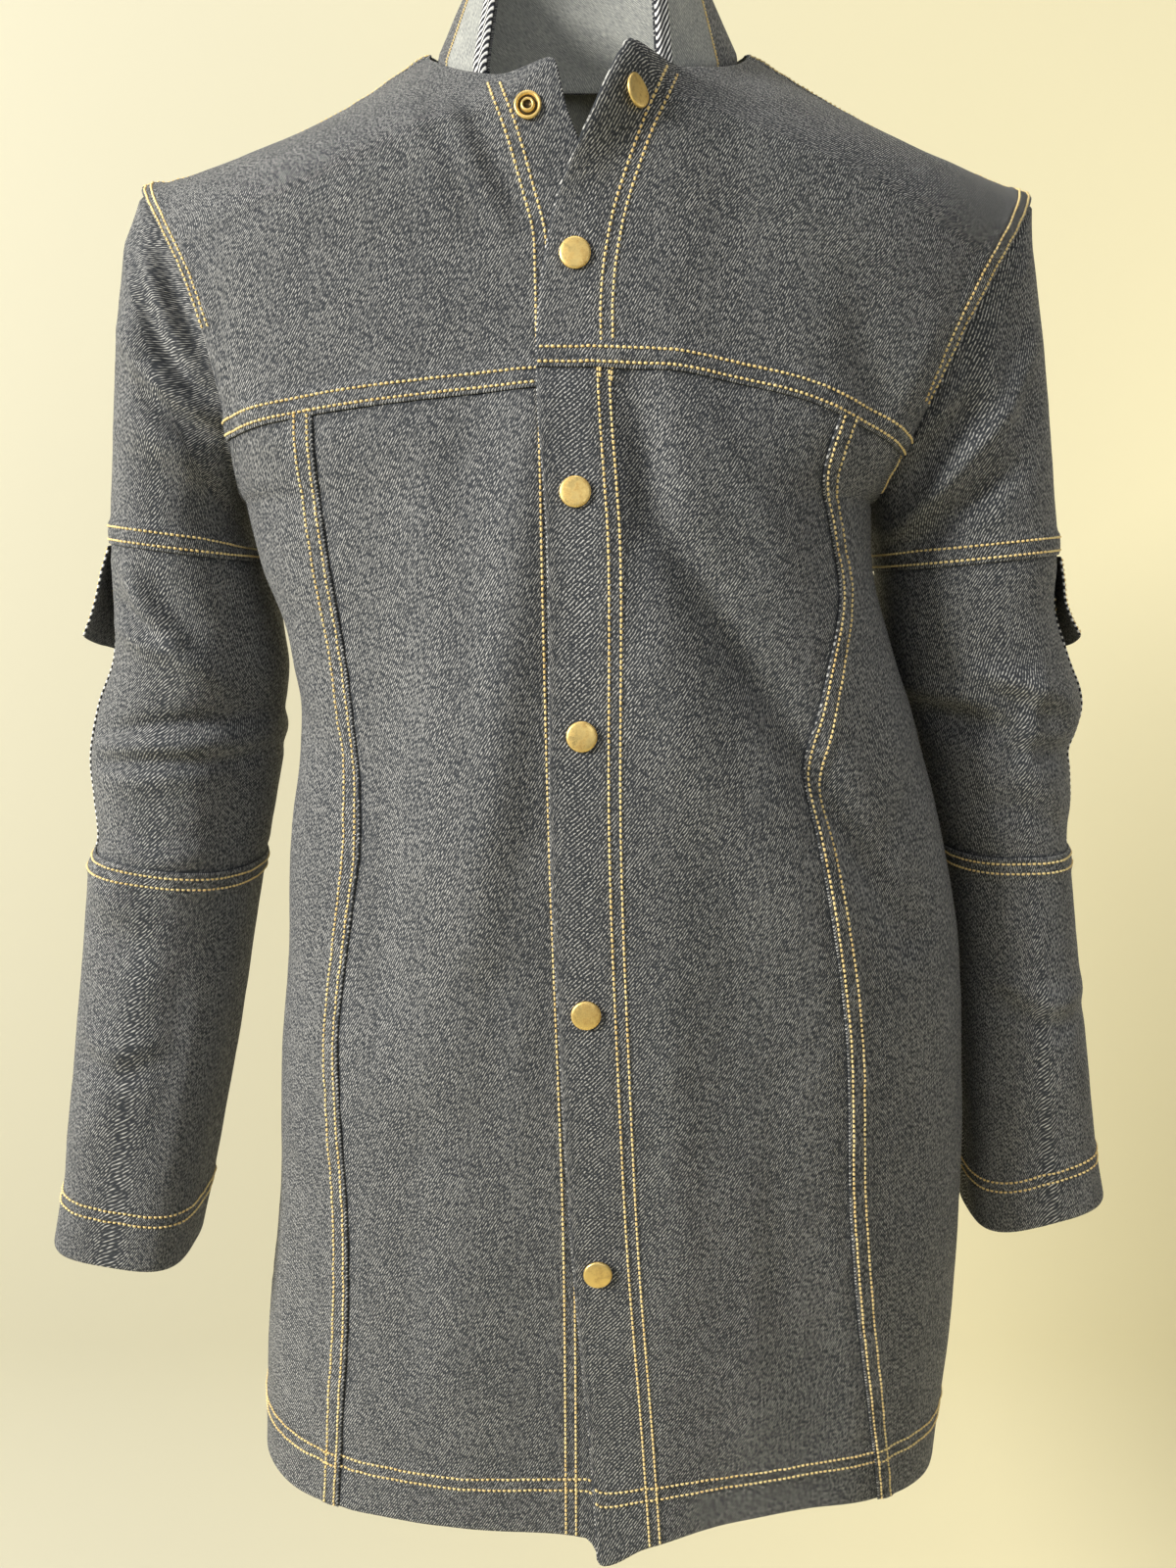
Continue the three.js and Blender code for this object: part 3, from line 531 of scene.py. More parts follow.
def layOut(at, kRange, qRange, starts, ends, tops, bottoms, pitch, ring=False):
    # even grid over a panel, with fixed distances to its edges; returns k, q and the distances in mm
    kc, qc = np.linspace(*kRange, 61), np.linspace(*qRange, 161)
    base = at(*np.meshgrid(kc, qc))
    cu, cv = cumulative(base, 1), cumulative(base, 0)
    cu, cv = cu - readAt(0, kc, cu)[:, None], cv - readAt(0, qc, cv.T)[None]
    fullU, fullV = readAt(1, kc, cu), readAt(1, qc, cv.T)
    nu = max(int(round(np.percentile(fullU, 85) / pitch)), 4)
    nv = max(int(round(np.percentile(fullV, 85) / pitch)), 4)
    pu = np.linspace(0, 1, nu + 1)[None] * fullU[:, None] if ring else places(fullU, starts, ends, nu)
    pv = places(fullV, bottoms, tops, nv)
    kAtQ = interpRows(pu, cu, np.repeat(kc[None], len(qc), 0))         # coarse rows x columns
    qAtK = interpRows(pv, cv.T, np.repeat(qc[None], len(kc), 0)).T     # rows x coarse columns
    Q = np.repeat(qAtK[:, 30:31], pu.shape[1], 1)
    for _ in range(3):
        K = np.stack([np.interp(Q[:, i], qc, kAtQ[:, i]) for i in range(pu.shape[1])], 1)
        Q = np.stack([np.interp(K[j], kc, qAtK[j]) for j in range(pv.shape[1])])
    u0 = np.stack([np.interp(Q[:, i], qc, pu[:, i]) for i in range(pu.shape[1])], 1)
    v0 = np.stack([np.interp(K[j], kc, pv[:, j]) for j in range(pv.shape[1])])
    return K, Q, u0, np.interp(Q, qc, fullU) - u0, v0, np.interp(K, kc, fullV) - v0


edgeSteps = [0, 0.5, 1.3, 2.0, 3.2, 5.0, 7.2, 9.0, 10.6, 12.6, 15.2]
underSteps = [-5.0, -2.5, -0.6, 0.6, 2.2, 4.4, 7.0, 10.0]
freeSteps = [0, 0.6, 1.6, 3.4]
stepsOf = {"top": edgeSteps, "side": edgeSteps, "under": underSteps, "free": freeSteps,
           "hem": [0, 0.6, 1.8, 4.0]}


def pucker(p, seed):
    # gathers along a sewn edge
    a = cloud(p, cloth["puckerLength"] * 0.55, seed)
    return np.clip(a * 1.5 + 0.25 * cloud(p, 23, seed + 5), -1, 1)


def rowDip(d, rows):
    total = 0
    for r in rows:
        total = total + np.exp(-((d - r) / 1.1) ** 2)
    return total


def seamShape(kind, d, p, rows, seed):
    # height in mm, and the colour shift (lighter above 0), at distance d from a sewn edge: paler worn edges that
    # also carry a painted highlight, painted highlights and painted shade following the puckers, and painted
    # shade along the stitch rows and in the groove beside a lapped seam
    gather = 0 if kind == "free" else pucker(p, seed)
    dip = rowDip(d, rows)
    if kind in ("top", "side"):
        band = 1 - smooth(d, cloth["seamWidth"], cloth["seamWidth"] + 3.6)
        wide = 1 - smooth(d, 8, 17)
        h = cloth["seamLift"] * band + cloth["pucker"] * gather * wide * smooth(d, -0.5, 2.0)
        h = h - 0.3 * (1 - smooth(d, 0, 1.4)) - 0.3 * dip
        # colour shift: paler worn edge with a painted highlight, painted highlights on the pucker ridges and
        # painted shade in their hollows, painted shade along the stitch rows
        return h, 0.16 * (1 - smooth(d, 0.2, 1.9)) + 0.24 * gather * (1 - smooth(d, 7, 14)) - 0.3 * dip
    if kind == "under":
        h = -0.45 * (1 - smooth(d, 3, 9)) - 0.3 * (1 - smooth(d, -2, 0.5))
        h = h + 0.22 * gather * (1 - smooth(d, 4, 14))
        # colour shift: painted shade in the groove beside the lapping edge, painted highlights and painted shade
        # following the puckers
        return h, -0.9 * (1 - smooth(d, 0.2, 3.0)) + 0.15 * gather * (1 - smooth(d, 4, 12))
    if kind == "hem":
        deep = max(rows) if rows else 30
        band = smooth(d, -1, 1) * (1 - smooth(d, deep + 1, deep + 5))
        near = np.exp(-((d - deep + 3) / 9) ** 2)
        h = 0.55 * band + 0.4 * gather * near - 0.3 * dip - 0.25 * (1 - smooth(d, 0, 1.3))
        # colour shift: paler worn fold with a painted highlight, painted highlights and painted shade following
        # the puckers, painted shade along the stitch rows
        return h, 0.16 * (1 - smooth(d, 0.2, 2.2)) + 0.22 * gather * near - 0.3 * dip
    h = -0.2 * (1 - smooth(d, 0, 1.2))
    # colour shift: paler worn edge with a painted highlight, painted shade along the stitch rows
    return h - 0.25 * dip, 0.12 * (1 - smooth(d, 0.2, 1.8)) - 0.3 * dip


def clothNoise(p):
    return 0.55 * cloud(p, 46, 11) + 0.28 * cloud(p, 19, 12) + 0.1 * cloud(p, 8.5, 13)


built = {}


def place(name, data):
    obj = bpy.data.objects.new(name, data)
    bpy.context.scene.collection.objects.link(obj)
    return obj


def makeMesh(name, verts, quads, materials, faceLooks, clothUv=None, tone=None):
    me = bpy.data.meshes.new(name)
    me.vertices.add(len(verts))
    me.vertices.foreach_set("co", (np.asarray(verts, np.float64) * mm).astype(np.float32).ravel())
    me.loops.add(quads.size)
    me.loops.foreach_set("vertex_index", quads.astype(np.int32).ravel())
    me.polygons.add(len(quads))
    me.polygons.foreach_set("loop_start", np.arange(0, quads.size, quads.shape[1], dtype=np.int32))
    for m in materials:
        me.materials.append(m)
    me.polygons.foreach_set("material_index", np.asarray(faceLooks, np.int32))
    me.update(calc_edges=True)
    me.validate()
    me.shade_smooth()
    if clothUv is not None:
        data = np.zeros((len(verts), 3), np.float32)
        data[:, :2] = clothUv
        me.attributes.new("cloth", "FLOAT_VECTOR", "POINT").data.foreach_set("vector", data.ravel())
        # per-vertex colour shift: worn pale seam edges, with painted highlights and painted shade along the seams
        me.attributes.new("tone", "FLOAT", "POINT").data.foreach_set("value", np.asarray(tone, np.float32))
    return place(name, me)


def gridQuads(rows, cols, ring, flip):
    ids = np.arange(rows * cols).reshape(rows, cols)
    nxt = np.roll(ids, -1, 1) if ring else ids[:, 1:]
    cur = ids if ring else ids[:, :-1]
    quads = np.stack([cur[:-1], nxt[:-1], nxt[1:], cur[1:]], -1).reshape(-1, 4)
    return quads[:, ::-1] if flip else quads


def closeShell(outer, normal, quads, thick):
    # outer and inner face with a rounded rim between them; returns the vertices each new one copies
    count = len(outer)
    edges = np.concatenate([quads[:, [i, (i + 1) % 4]] for i in range(4)])
    keys = edges[:, 0].astype(np.int64) * count + edges[:, 1]
    back = edges[:, 1].astype(np.int64) * count + edges[:, 0]
    free = edges[~np.isin(keys, back)]
    along = unit(outer[free[:, 1]] - outer[free[:, 0]])
    out = np.zeros_like(outer)
    for end in (0, 1):
        np.add.at(out, free[:, end], np.cross(along, normal[free[:, end]]))
    rim = np.unique(free)
    rank = np.full(count, -1)
    rank[rim] = np.arange(len(rim))
    out = unit(out[rim])
    verts = [outer, outer - normal * thick]
    faces = [quads, quads[:, ::-1] + count]
    looks = [np.zeros(len(quads)), np.ones(len(quads))]
    source = [np.arange(count), np.arange(count)]
    last = free
    for reach, down in ((0.34, 0.2), (0.46, 0.5), (0.34, 0.8), (0, 1)):
        if down < 1:
            first = sum(len(v) for v in verts)
            verts.append(outer[rim] + out * reach * min(thick, 1.2) - normal[rim] * down * thick)
            source.append(rim)
            here = rank[free] + first
        else:
            here = free + count
        faces.append(np.stack([last[:, 1], last[:, 0], here[:, 0], here[:, 1]], -1))
        looks.append(np.zeros(len(free)))
        last = here
    return np.concatenate(verts), np.concatenate(faces), np.concatenate(looks), np.concatenate(source)


sleeveGirth = 340                        # mm, for the grain round a sleeve


def panel(name, at, placed, kinds, rows, seed, pitch=None, ring=False, flip=False, uvShift=(0, 0),
          lift=0, thick=wall, reach=(0, 0, 0, 0), grain=""):
    # at(k, q) gives the plain surface, placed(k, q) the folded one with normals
    # kinds and rows for the edges: k=0, k=1, q=0, q=1
    pitch = pitch or cloth["pitch"]
    steps = [stepsOf[kind] if kind else [0] for kind in kinds]
    kRange = (-reach[0], 1 + reach[1])
    qRange = (-reach[2], 1 + reach[3])
    K, Q, u0, u1, v0, v1 = layOut(at, kRange, qRange, steps[0], steps[1], steps[3], steps[2], pitch, ring)
    p, n = placed(K, Q)
    h, tone = np.zeros(K.shape), np.zeros(K.shape)
    for kind, d, row, extra in zip(kinds, (u0, u1, v0, v1), rows, range(4)):
        if kind:
            a, b = seamShape(kind, d, p, row, seed * 7 + extra)
            if kind == "side":                       # lies under the front below the armhole
                a2, b2 = seamShape("under", d, p, [], seed * 7 + extra)
                low = Q < underarm
                a, b = np.where(low, a2, a), np.where(low, b2, b)
            h, tone = h + a, tone + b
    p = p + n * (h + lift + clothNoise(p))[..., None]
    if ring:
        p, n, u0, v0, tone = p[:, :-1], n[:, :-1], u0[:, :-1], v0[:, :-1], tone[:, :-1]
    cols = u0.shape[1]
    grainU, grainV = u0 * (-1 if flip else 1), v0
    if grain == "torso":                             # the grain hangs straight down, whatever the seams do
        grainU = grainU + p[:, :1, 0] * (-1 if name.startswith("back") else 1)
        grainV = v0 + p[:1, :, 2]
    if grain == "sleeve":
        grainU, grainV = K[:, :cols] * sleeveGirth * (-1 if flip else 1), -v1[:, :cols]
    uv = np.stack([grainU + uvShift[0], grainV + uvShift[1]], -1)
    built[name] = {"p": p, "n": n, "u0": u0, "u1": u1[:, :cols], "v0": v0, "v1": v1[:, :cols],
                   "q": Q[:, :cols], "uv": uv, "tone": tone, "flip": flip, "ring": ring, "thick": thick}
    return built[name]


def sewUp(name, grids, node, looks=None, special=None):
    # one piece of cloth from its grids; grids that share their first column are joined there
    points, normals, uvs, tones, quads, first = [], [], [], [], [], 0
    for g in grids:
        rows, cols = g["p"].shape[:2]
        quads.append(gridQuads(rows, cols, g["ring"], g["flip"]) + first)
        points.append(g["p"].reshape(-1, 3))
        normals.append(g["n"].reshape(-1, 3))
        uvs.append(g["uv"].reshape(-1, 2))
        tones.append(g["tone"].ravel())
        first += rows * cols
    points, normals, uvs, tones, quads = (np.concatenate(x) for x in (points, normals, uvs, tones, quads))
    if len(grids) > 1:
        rows, cols = grids[0]["p"].shape[:2]
        shared = np.arange(rows) * cols
        shared = shared[grids[0]["q"][:, 0] <= grids[0]["joinedTo"]]
        swap = np.arange(len(points))
        cols2 = grids[1]["p"].shape[1]
        swap[rows * cols + (shared // cols) * cols2] = shared
        quads = swap[quads]
        keep = np.unique(quads)
        fresh = np.full(len(points), -1)
        fresh[keep] = np.arange(len(keep))
        points, normals, uvs, tones, quads = points[keep], normals[keep], uvs[keep], tones[keep], fresh[quads]
    verts, faces, faceLooks, source = closeShell(points, normals, quads, grids[0]["thick"])
    count = len(points)
    if special is not None:                          # a third look where the test holds
        marked = special(grids[0]).ravel()[source][faces].all(1) & (faceLooks == 0)
        faceLooks = np.where(marked, 2, faceLooks)
    uvAll, toneAll = uvs[source], tones[source]
    uvAll[count:2 * count, 0] *= -1
    toneAll[count:2 * count] = 0
    obj = makeMesh(name, verts, faces, looks or [denimLook, reverseLook], faceLooks, uvAll, toneAll)
    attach(obj, "root")
    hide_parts(node)
    return obj


# ---- materials
class Wire:
    # a socket that takes part in sums; colours and vectors go through Vector Math
    def __init__(self, look, socket):
        self.look, self.socket = look, socket

    def sum(self, operation, other, swapped=False):
        a, b = (other, self) if swapped else (self, other)
        wide = any(isinstance(v, Wire) and v.socket.type in ("VECTOR", "RGBA") for v in (a, b))
        if wide:
            a, b = (v if isinstance(v, (Wire, tuple)) else (v, v, v) for v in (a, b))
        kind = "ShaderNodeVectorMath" if wide else "ShaderNodeMath"
        return self.look.node(kind, {"operation": operation}, {0: a, 1: b})

    def __add__(self, other): return self.sum("ADD", other)
    def __radd__(self, other): return self.sum("ADD", other, True)
    def __sub__(self, other): return self.sum("SUBTRACT", other)
    def __rsub__(self, other): return self.sum("SUBTRACT", other, True)
    def __mul__(self, other): return self.sum("MULTIPLY", other)
    def __rmul__(self, other): return self.sum("MULTIPLY", other, True)


class Look:
    def __init__(self, name):
        self.material = bpy.data.materials.new(name)
        self.material.use_nodes = True
        self.tree = self.material.node_tree
        self.shader = self.tree.nodes["Principled BSDF"]

    def node(self, kind, settings=None, values=None, out=0):
        made = self.tree.nodes.new(kind)
        for key, value in (settings or {}).items():
            setattr(made, key, value)
        for key, value in (values or {}).items():
            if isinstance(value, Wire):
                self.tree.links.new(value.socket, made.inputs[key])
            else:
                made.inputs[key].default_value = value
        return Wire(self, made.outputs[out])

    def noise(self, vector, scale, detail=2.0, rough=0.5):
        return self.node("ShaderNodeTexNoise", {"noise_dimensions": "3D"},
                         {"Vector": vector, "Scale": scale, "Detail": detail, "Roughness": rough})

    def step(self, value, lo, hi, out=(0, 1)):
        ends = {"From Min": lo, "From Max": hi, "To Min": out[0], "To Max": out[1]}
        return self.node("ShaderNodeMapRange", {"interpolation_type": "SMOOTHSTEP"}, {"Value": value, **ends})

    def bump(self, height, strength, distance):
        return self.node("ShaderNodeBump", values={"Height": height, "Strength": strength, "Distance": distance})

    def blend(self, factor, a, b):
        return self.node("ShaderNodeMix", {"data_type": "RGBA"}, {0: factor, 6: a, 7: b}, 2)

    def set(self, **values):
        for key, value in values.items():
            socket = self.shader.inputs[key.replace("_", " ")]
            if isinstance(value, Wire):
                self.tree.links.new(value.socket, socket)
            else:
                socket.default_value = value


def denim(name, dark, pale, balance, style):
    # dark twill with the pale yarn showing in short dashes along its lines; lengths in mm
    look = Look(name)
    where = look.node("ShaderNodeAttribute", {"attribute_name": "cloth"}, out=1)
    tone = look.node("ShaderNodeAttribute", {"attribute_name": "tone"}, out=2)
    axes = look.node("ShaderNodeSeparateXYZ", values={0: where})
    u = axes
    v = Wire(look, axes.socket.node.outputs[1])
    c, s = math.cos(math.radians(style["angle"])), math.sin(math.radians(style["angle"]))
    across, along = u * s - v * c, u * c + v * s
    drift = look.noise(where, 0.16, 2.0) - 0.5
    phase = across * (2 * math.pi / style["linePitch"]) + drift * style["drift"]
    line = look.node("ShaderNodeMath", {"operation": "SINE"}, {0: phase})
    grain = look.node("ShaderNodeCombineXYZ", values={0: across * (1.0 / style["linePitch"]),
                                                      1: along * (1.0 / style["dash"])})
    dashes = look.noise(grain, 2.6, 0.0, 0.5) - 0.5
    fuzz = look.noise(where, 2.3, 1.0, 0.6) - 0.5
    slub = look.node("ShaderNodeCombineXYZ", values={0: u * 0.55, 1: v * 0.045})
    slubs = look.noise(slub, 1.0, 2.0, 0.6) - 0.5
    mottle = look.noise(where, 0.085, 3.0, 0.6) - 0.5
    broad = look.noise(where, 0.02, 2.0, 0.5) - 0.5
    height = line * (dashes * style["streak"] + style["line"]) + dashes * style["broken"] + fuzz * style["fuzz"]
    shade = height + slubs * style["slub"] + mottle * style["mottle"] + broad * style["broad"]
    # the seams' painted highlights and painted shade, with their worn pale edges, lighten or darken the twill
    # here
    shade = shade + tone * style["tone"] + balance
    look.set(Base_Color=look.blend(look.step(shade, -0.35, 1.05), dark, pale),
             Normal=look.bump(height, style["bump"], 0.00022),
             Roughness=look.step(height, -0.8, 0.8, (0.95, 0.75)),
             Sheen_Weight=style["sheen"], Sheen_Roughness=0.45, Specular_IOR_Level=0.25)
    return look.material


denimStyle = {"angle": 60, "linePitch": 1.2, "dash": 5.0, "drift": 0.8, "line": 0.62, "streak": 2.4,
              "broken": 1.5, "fuzz": 0.4, "slub": 0.3, "mottle": 0.3, "broad": 0.3, "tone": 0.55,
              "bump": 0.5, "sheen": 0.08}
denimLook = denim("denim", (0.040, 0.044, 0.049, 1), (0.60, 0.59, 0.55, 1), -0.28, denimStyle)
reverseLook = denim("denimReverse", (0.14, 0.15, 0.155, 1), (0.62, 0.62, 0.54, 1), 0.25,
                    {**denimStyle, "angle": 120, "line": 0.15, "streak": 0.5, "broken": 0.9, "tone": 0.3})
foldLook = denim("denimFold", (0.022, 0.024, 0.030, 1), (0.86, 0.85, 0.80, 1), 0.12,
                 {**denimStyle, "linePitch": 1.9, "line": 1.3, "streak": 0.0, "broken": 0.8, "fuzz": 0.7,
                  "tone": 0.2})


def threadMaterial(name, shade, deep):
    look = Look(name)
    where = look.node("ShaderNodeTexCoord", out=3)
    twist = look.noise(where, 900.0, 2.0)
    patch = look.noise(where, 40.0, 2.0)
    look.set(Base_Color=look.blend(look.step(twist * 0.5 + patch * 0.5, 0.3, 0.7), deep, shade),
             Normal=look.bump(twist, 0.4, 0.0001),
             Roughness=0.62, Sheen_Weight=0.2)
    return look.material


threadLook = threadMaterial("ochreThread", (0.96, 0.78, 0.36, 1), (0.80, 0.55, 0.20, 1))


def brassMaterial(name, bright, dull):
    look = Look(name)
    where = look.node("ShaderNodeTexCoord", out=3)
    patina = look.noise(where, 260.0, 4.0, 0.65)
    pits = look.noise(where, 1400.0, 2.0)
    look.set(Base_Color=look.blend(look.step(patina, 0.45, 0.75), bright, dull), Metallic=1.0,
             Roughness=look.step(patina * 0.7 + pits * 0.3, 0.35, 0.65, (0.40, 0.62)),
             Normal=look.bump(patina, 0.12, 0.0002))
    return look.material


brassLook = brassMaterial("antiqueBrass", (0.92, 0.68, 0.26, 1), (0.62, 0.42, 0.15, 1))
grooveLook = brassMaterial("brassGroove", (0.10, 0.07, 0.03, 1), (0.05, 0.035, 0.02, 1))
print("materials ready")

# ---- front panels
who = {-1: "right", 1: "left"}
rowPair = [cloth["nearRow"], cloth["farRow"]]
placketRows, hemRows, cuffRows, wideRows = [28.4, 34.0], [28.0, 35.0], [27.0, 33.0], [3.0, 9.0]


def frontPanel(label, side, acrossOf, tOf, kinds, rows, seed, **more):
    return panel(f"{label}_{who[side]}", lambda k, q: torsoBase(False, acrossOf(k, tOf(k, q)), tOf(k, q)),
                 lambda k, q: frontPoint(side, acrossOf(k, tOf(k, q)), tOf(k, q)),
                 kinds, rows, seed, flip=side < 0, **more)


for side in (-1, 1):
    f = fronts[side]

    def centreT(k, q):
        return q * f["centreTop"](np.clip(k, 0, 1))

    def sideT(k, q):
        return q * f["sideTop"](np.clip(k, 0, 1))

    def yokeT(k, q):
        return lerp(f["yokeLow"](np.clip(k, 0, 1)), 1.0, q)

    def yokeU(k, t):
        return lerp(f["edgeU"](t), float(side), k)

    for label, node, acrossOf, tOf, kinds, rows, reach, shift in (
            ("centreFront", "centre_front", f["centreU"], centreT, ("free", "under", "hem", "under"),
             (placketRows, [], hemRows, []), (0, 0.09, 0, 0.012), (0, 0)),
            ("sideFront", "side_front", f["sideU"], sideT, ("top", "top", "hem", "under"),
             (rowPair, [], hemRows, []), (0, 0, 0, 0.012), (31, 7)),
            ("yoke", "yoke", yokeU, yokeT, ("free", "top", "top", "top"),
             ([], rowPair, rowPair, rowPair), (0, 0, 0, 0), (57, 19))):
        piece = frontPanel(label, side, acrossOf, tOf, kinds, rows, 3 + side + len(label) * 5,
                           reach=reach, uvShift=shift, grain="torso")
        sewUp(f"{label}_{who[side]}", [piece], f"{node}_{who[side]}")
print("fronts ready")

# ---- back, two halves joined along the middle below the neck
halves = []
for side in (-1, 1):
    half = panel(f"back_{side}", lambda k, q: torsoBase(True, side * np.maximum(k, 1e-6), q),
                 lambda k, q: torso(True, side * np.maximum(k, 1e-6), q),
                 ("", "side", "hem", "under"), ([], rowPair, hemRows, []), 41 + side,
                 pitch=cloth["backPitch"], flip=side > 0, grain="torso")
    half["joinedTo"] = neckBackT
    halves.append(half)
sewUp("back", halves, "back")
print("back ready")

# ---- sleeves
upperSeam, lowerSeam = 0.455, 0.70
for side in (-1, 1):
    for label, s0, s1, kinds, rows, reach in (
            ("Upper", 0.0, upperSeam, ("", "", "free", "top"), ([], [], [], rowPair), (0, 0, 0, 0)),
            ("Middle", upperSeam, lowerSeam, ("", "", "under", "under"), ([], [], [], []), (0, 0, 0.05, 0.05)),
            ("Lower", lowerSeam, 1.0, ("", "", "top", "hem"), ([], [], wideRows, cuffRows), (0, 0, 0, 0))):
        piece = panel(f"sleeve{label}_{who[side]}", lambda k, q: sleeveBase(side, k * 360, lerp(s0, s1, q)),
                      lambda k, q: sleeve(side, k * 360, lerp(s0, s1, q)), kinds, rows, 21 + side * 3,
                      ring=True, flip=side < 0, reach=reach, uvShift=(11, 3), grain="sleeve")
        sewUp(f"sleeve{label}_{who[side]}", [piece], f"sleeve_{label.lower()}_{who[side]}")
print("sleeves ready")

# ---- facings behind the front edges
facingShare = 0.27                           # of the centre front's width
for side in (-1, 1):
    piece = frontPanel("facing", side, lambda k, t: fronts[side]["centreU"](facingShare * k, t),
                       lambda k, q: q * neckT + 0 * k, ("", "", "", ""), ([], [], [], []), 3, pitch=7,
                       lift=-(wall + layerGap) - 0.5, thick=1.0)
    sewUp(f"facing_{who[side]}", [piece], f"facing_{who[side]}", looks=[reverseLook, denimLook])

# ---- collar
# angle round the neck where the band ends, how far the strip turned back over it runs, and its folded edge
collar = {"height": 38.0, "below": 10.0, "inset": 5.3, "back": 0.096, "in": (0.05, 0.42),
          -1: {"start": -38.0, "strip": 23.0}, 1: {"start": 24.5, "strip": 28.5}}


def collarPoint(angle, h):
    a, up = np.abs(angle), np.maximum(h, 0)
    inward = collar["in"][0] + collar["in"][1] * np.sin(np.radians(a)) ** 2
    c = neckline(a)
    c[..., 0] *= np.where(angle < 0, -1, 1)
    out = unit(c * np.array([1, 1, 0]))
    c = c - out * (collar["inset"] + up * inward)[..., None]
    c[..., 2] += h
    c[..., 1] += up * collar["back"] * np.cos(np.radians(a))
    return c, out


def collarSpan(k):
    a = lerp(collar[1]["start"], 360 + collar[-1]["start"], k)
    return np.where(a > 180, a - 360, a)


def collarRise(q, below=collar["below"]):
    return lerp(-below, collar["height"], q)


piece = panel("collar", lambda k, q: collarPoint(collarSpan(k), collarRise(q))[0],
              lambda k, q: collarPoint(collarSpan(k), collarRise(q)),
              ("free", "free", "", "free"), ([], [], [], [2.0]), 51, pitch=3.0)
sewUp("collar", [piece], "collar")
for side in (-1, 1):
    start, strip = collar[side]["start"], collar[side]["strip"]

    def stripPoint(k, q):
        return collarPoint(start + side * k * strip, collarRise(q, 8.0))

    def stripShape(k, q):
        # two rolled edges beside the opening, then the flat strip
        p, n = stripPoint(k, q)
        d = k * strip * 1.35
        roll = np.where(d < 7.6, 1.3 * np.abs(np.sin(np.clip(d, 0, 7.6) / 3.8 * np.pi)) ** 0.6, 0)
        return p + n * roll[..., None], n
    piece = panel(f"collarTurnback_{who[side]}", lambda k, q: stripPoint(k, q)[0], stripShape,
                  ("free", "free", "", "free"), ([], [2.0], [], []), 55, pitch=1.2, flip=side < 0,
                  lift=wall + layerGap + 0.6, thick=1.0)
    sewUp(f"collarTurnback_{who[side]}", [piece], f"collar_turnback_{who[side]}",
          looks=[reverseLook, denimLook, foldLook], special=lambda g: g["u0"] < 7.4)
print("collar ready")

# ---- sleeve pockets and flaps
pocket = {"front": 17.5, "back": -81.8, "bulge": 2.6, "below": 0.035}
flap = {"front": 26.0, "back": -78.0, "below": 0.004, "drop": 0.067, "point": 0.022,
        "stand": {-1: 13.0, 1: 6.6}}
flapRows = [2.2, 8.8]
for side in (-1, 1):
    def pocketAt(k, q):
        return lerp(pocket["front"], pocket["back"], k), lerp(upperSeam + pocket["below"], lowerSeam, q)

    def flapAt(k, q):
        drop = flap["drop"] + flap["point"] * (1 - np.abs(2 * k - 1))
        return lerp(flap["front"], flap["back"], k), upperSeam + flap["below"] + drop * q

    def pocketShape(k, q):
        p, n = sleeve(side, *pocketAt(k, q))
        full = np.sin(np.clip(k, 0, 1) * np.pi) * np.sin(np.clip(q, 0, 1) * np.pi)
        return p + n * (pocket["bulge"] * full)[..., None], n

    def flapShape(k, q):
        p, n = sleeve(side, *flapAt(k, q))
        stand = 2.2 * np.minimum(1, 3 * q) + flap["stand"][side] * q ** 1.5 * (1 - 0.6 * k)
        return p + n * stand[..., None], n
    for label, at, shape, kinds, rows, seed, pitch, lift in (
            ("Pocket", pocketAt, pocketShape, ("free", "under"), (wideRows, []), 61, None, 0.4),
            ("Flap", flapAt, flapShape, ("", "free"), ([], flapRows), 65, 2.6, 0.6)):
        piece = panel(f"sleeve{label}_{who[side]}", lambda k, q: sleeveBase(side, *at(k, q)), shape,
                      ("free", "free", *kinds), ([2.2], [2.2], *rows), seed + side, pitch=pitch,
                      flip=side > 0, lift=wall + layerGap + lift)
        sewUp(f"sleeve{label}_{who[side]}", [piece], f"sleeve_{label.lower()}_{who[side]}",
              looks=[denimLook, denimLook, foldLook], special=lambda g: g["u0"] < 1.7)
print("pockets ready")

# ---- snaps
snap = {"sink": 0.5, "segments": 56, "turn": 0.32}     # the top cap is turned towards the side


def frontAt(side, x, z, lo, hi):
    # points of the front at x and z in the front view, from rows between lo and hi
    def across(t):
        return acrossAt(t, lambda anyZ: x)
    t = halve(z.shape, lo, hi, lambda m: torsoBase(False, across(m), m), lambda p: p[..., 2] < z)
    return frontPoint(side, across(t), t)


def lathe(name, node, spot, turn, profile, grooves=()):
    p, n = frontAt(-1 if grooves else 1, *np.array(spot, float)[:, None], 0.02, neckT)
    axis = unit(n[0] + np.array([turn, 0, 0]))
    centre = p[0] + axis * snap["sink"]
    ex = unit(np.cross(np.array([0, 0, 1.0]), axis))
    ey = np.cross(axis, ex)
    a = np.linspace(0, 2 * np.pi, snap["segments"], endpoint=False)
    circle = np.cos(a)[:, None] * ex + np.sin(a)[:, None] * ey
    rings = np.array([centre + axis * h + r * circle for r, h in profile])
    middles = [(r1 + r2) / 2 for (r1, _), (r2, _) in zip(profile, profile[1:])]
    dark = np.repeat([any(lo <= r <= hi for lo, hi in grooves) for r in middles], len(a))
    quads = gridQuads(len(profile), len(a), True, False)
    obj = makeMesh(name, rings.reshape(-1, 3), quads, [brassLook, grooveLook], dark)
    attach(obj, "root")
    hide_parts(node)


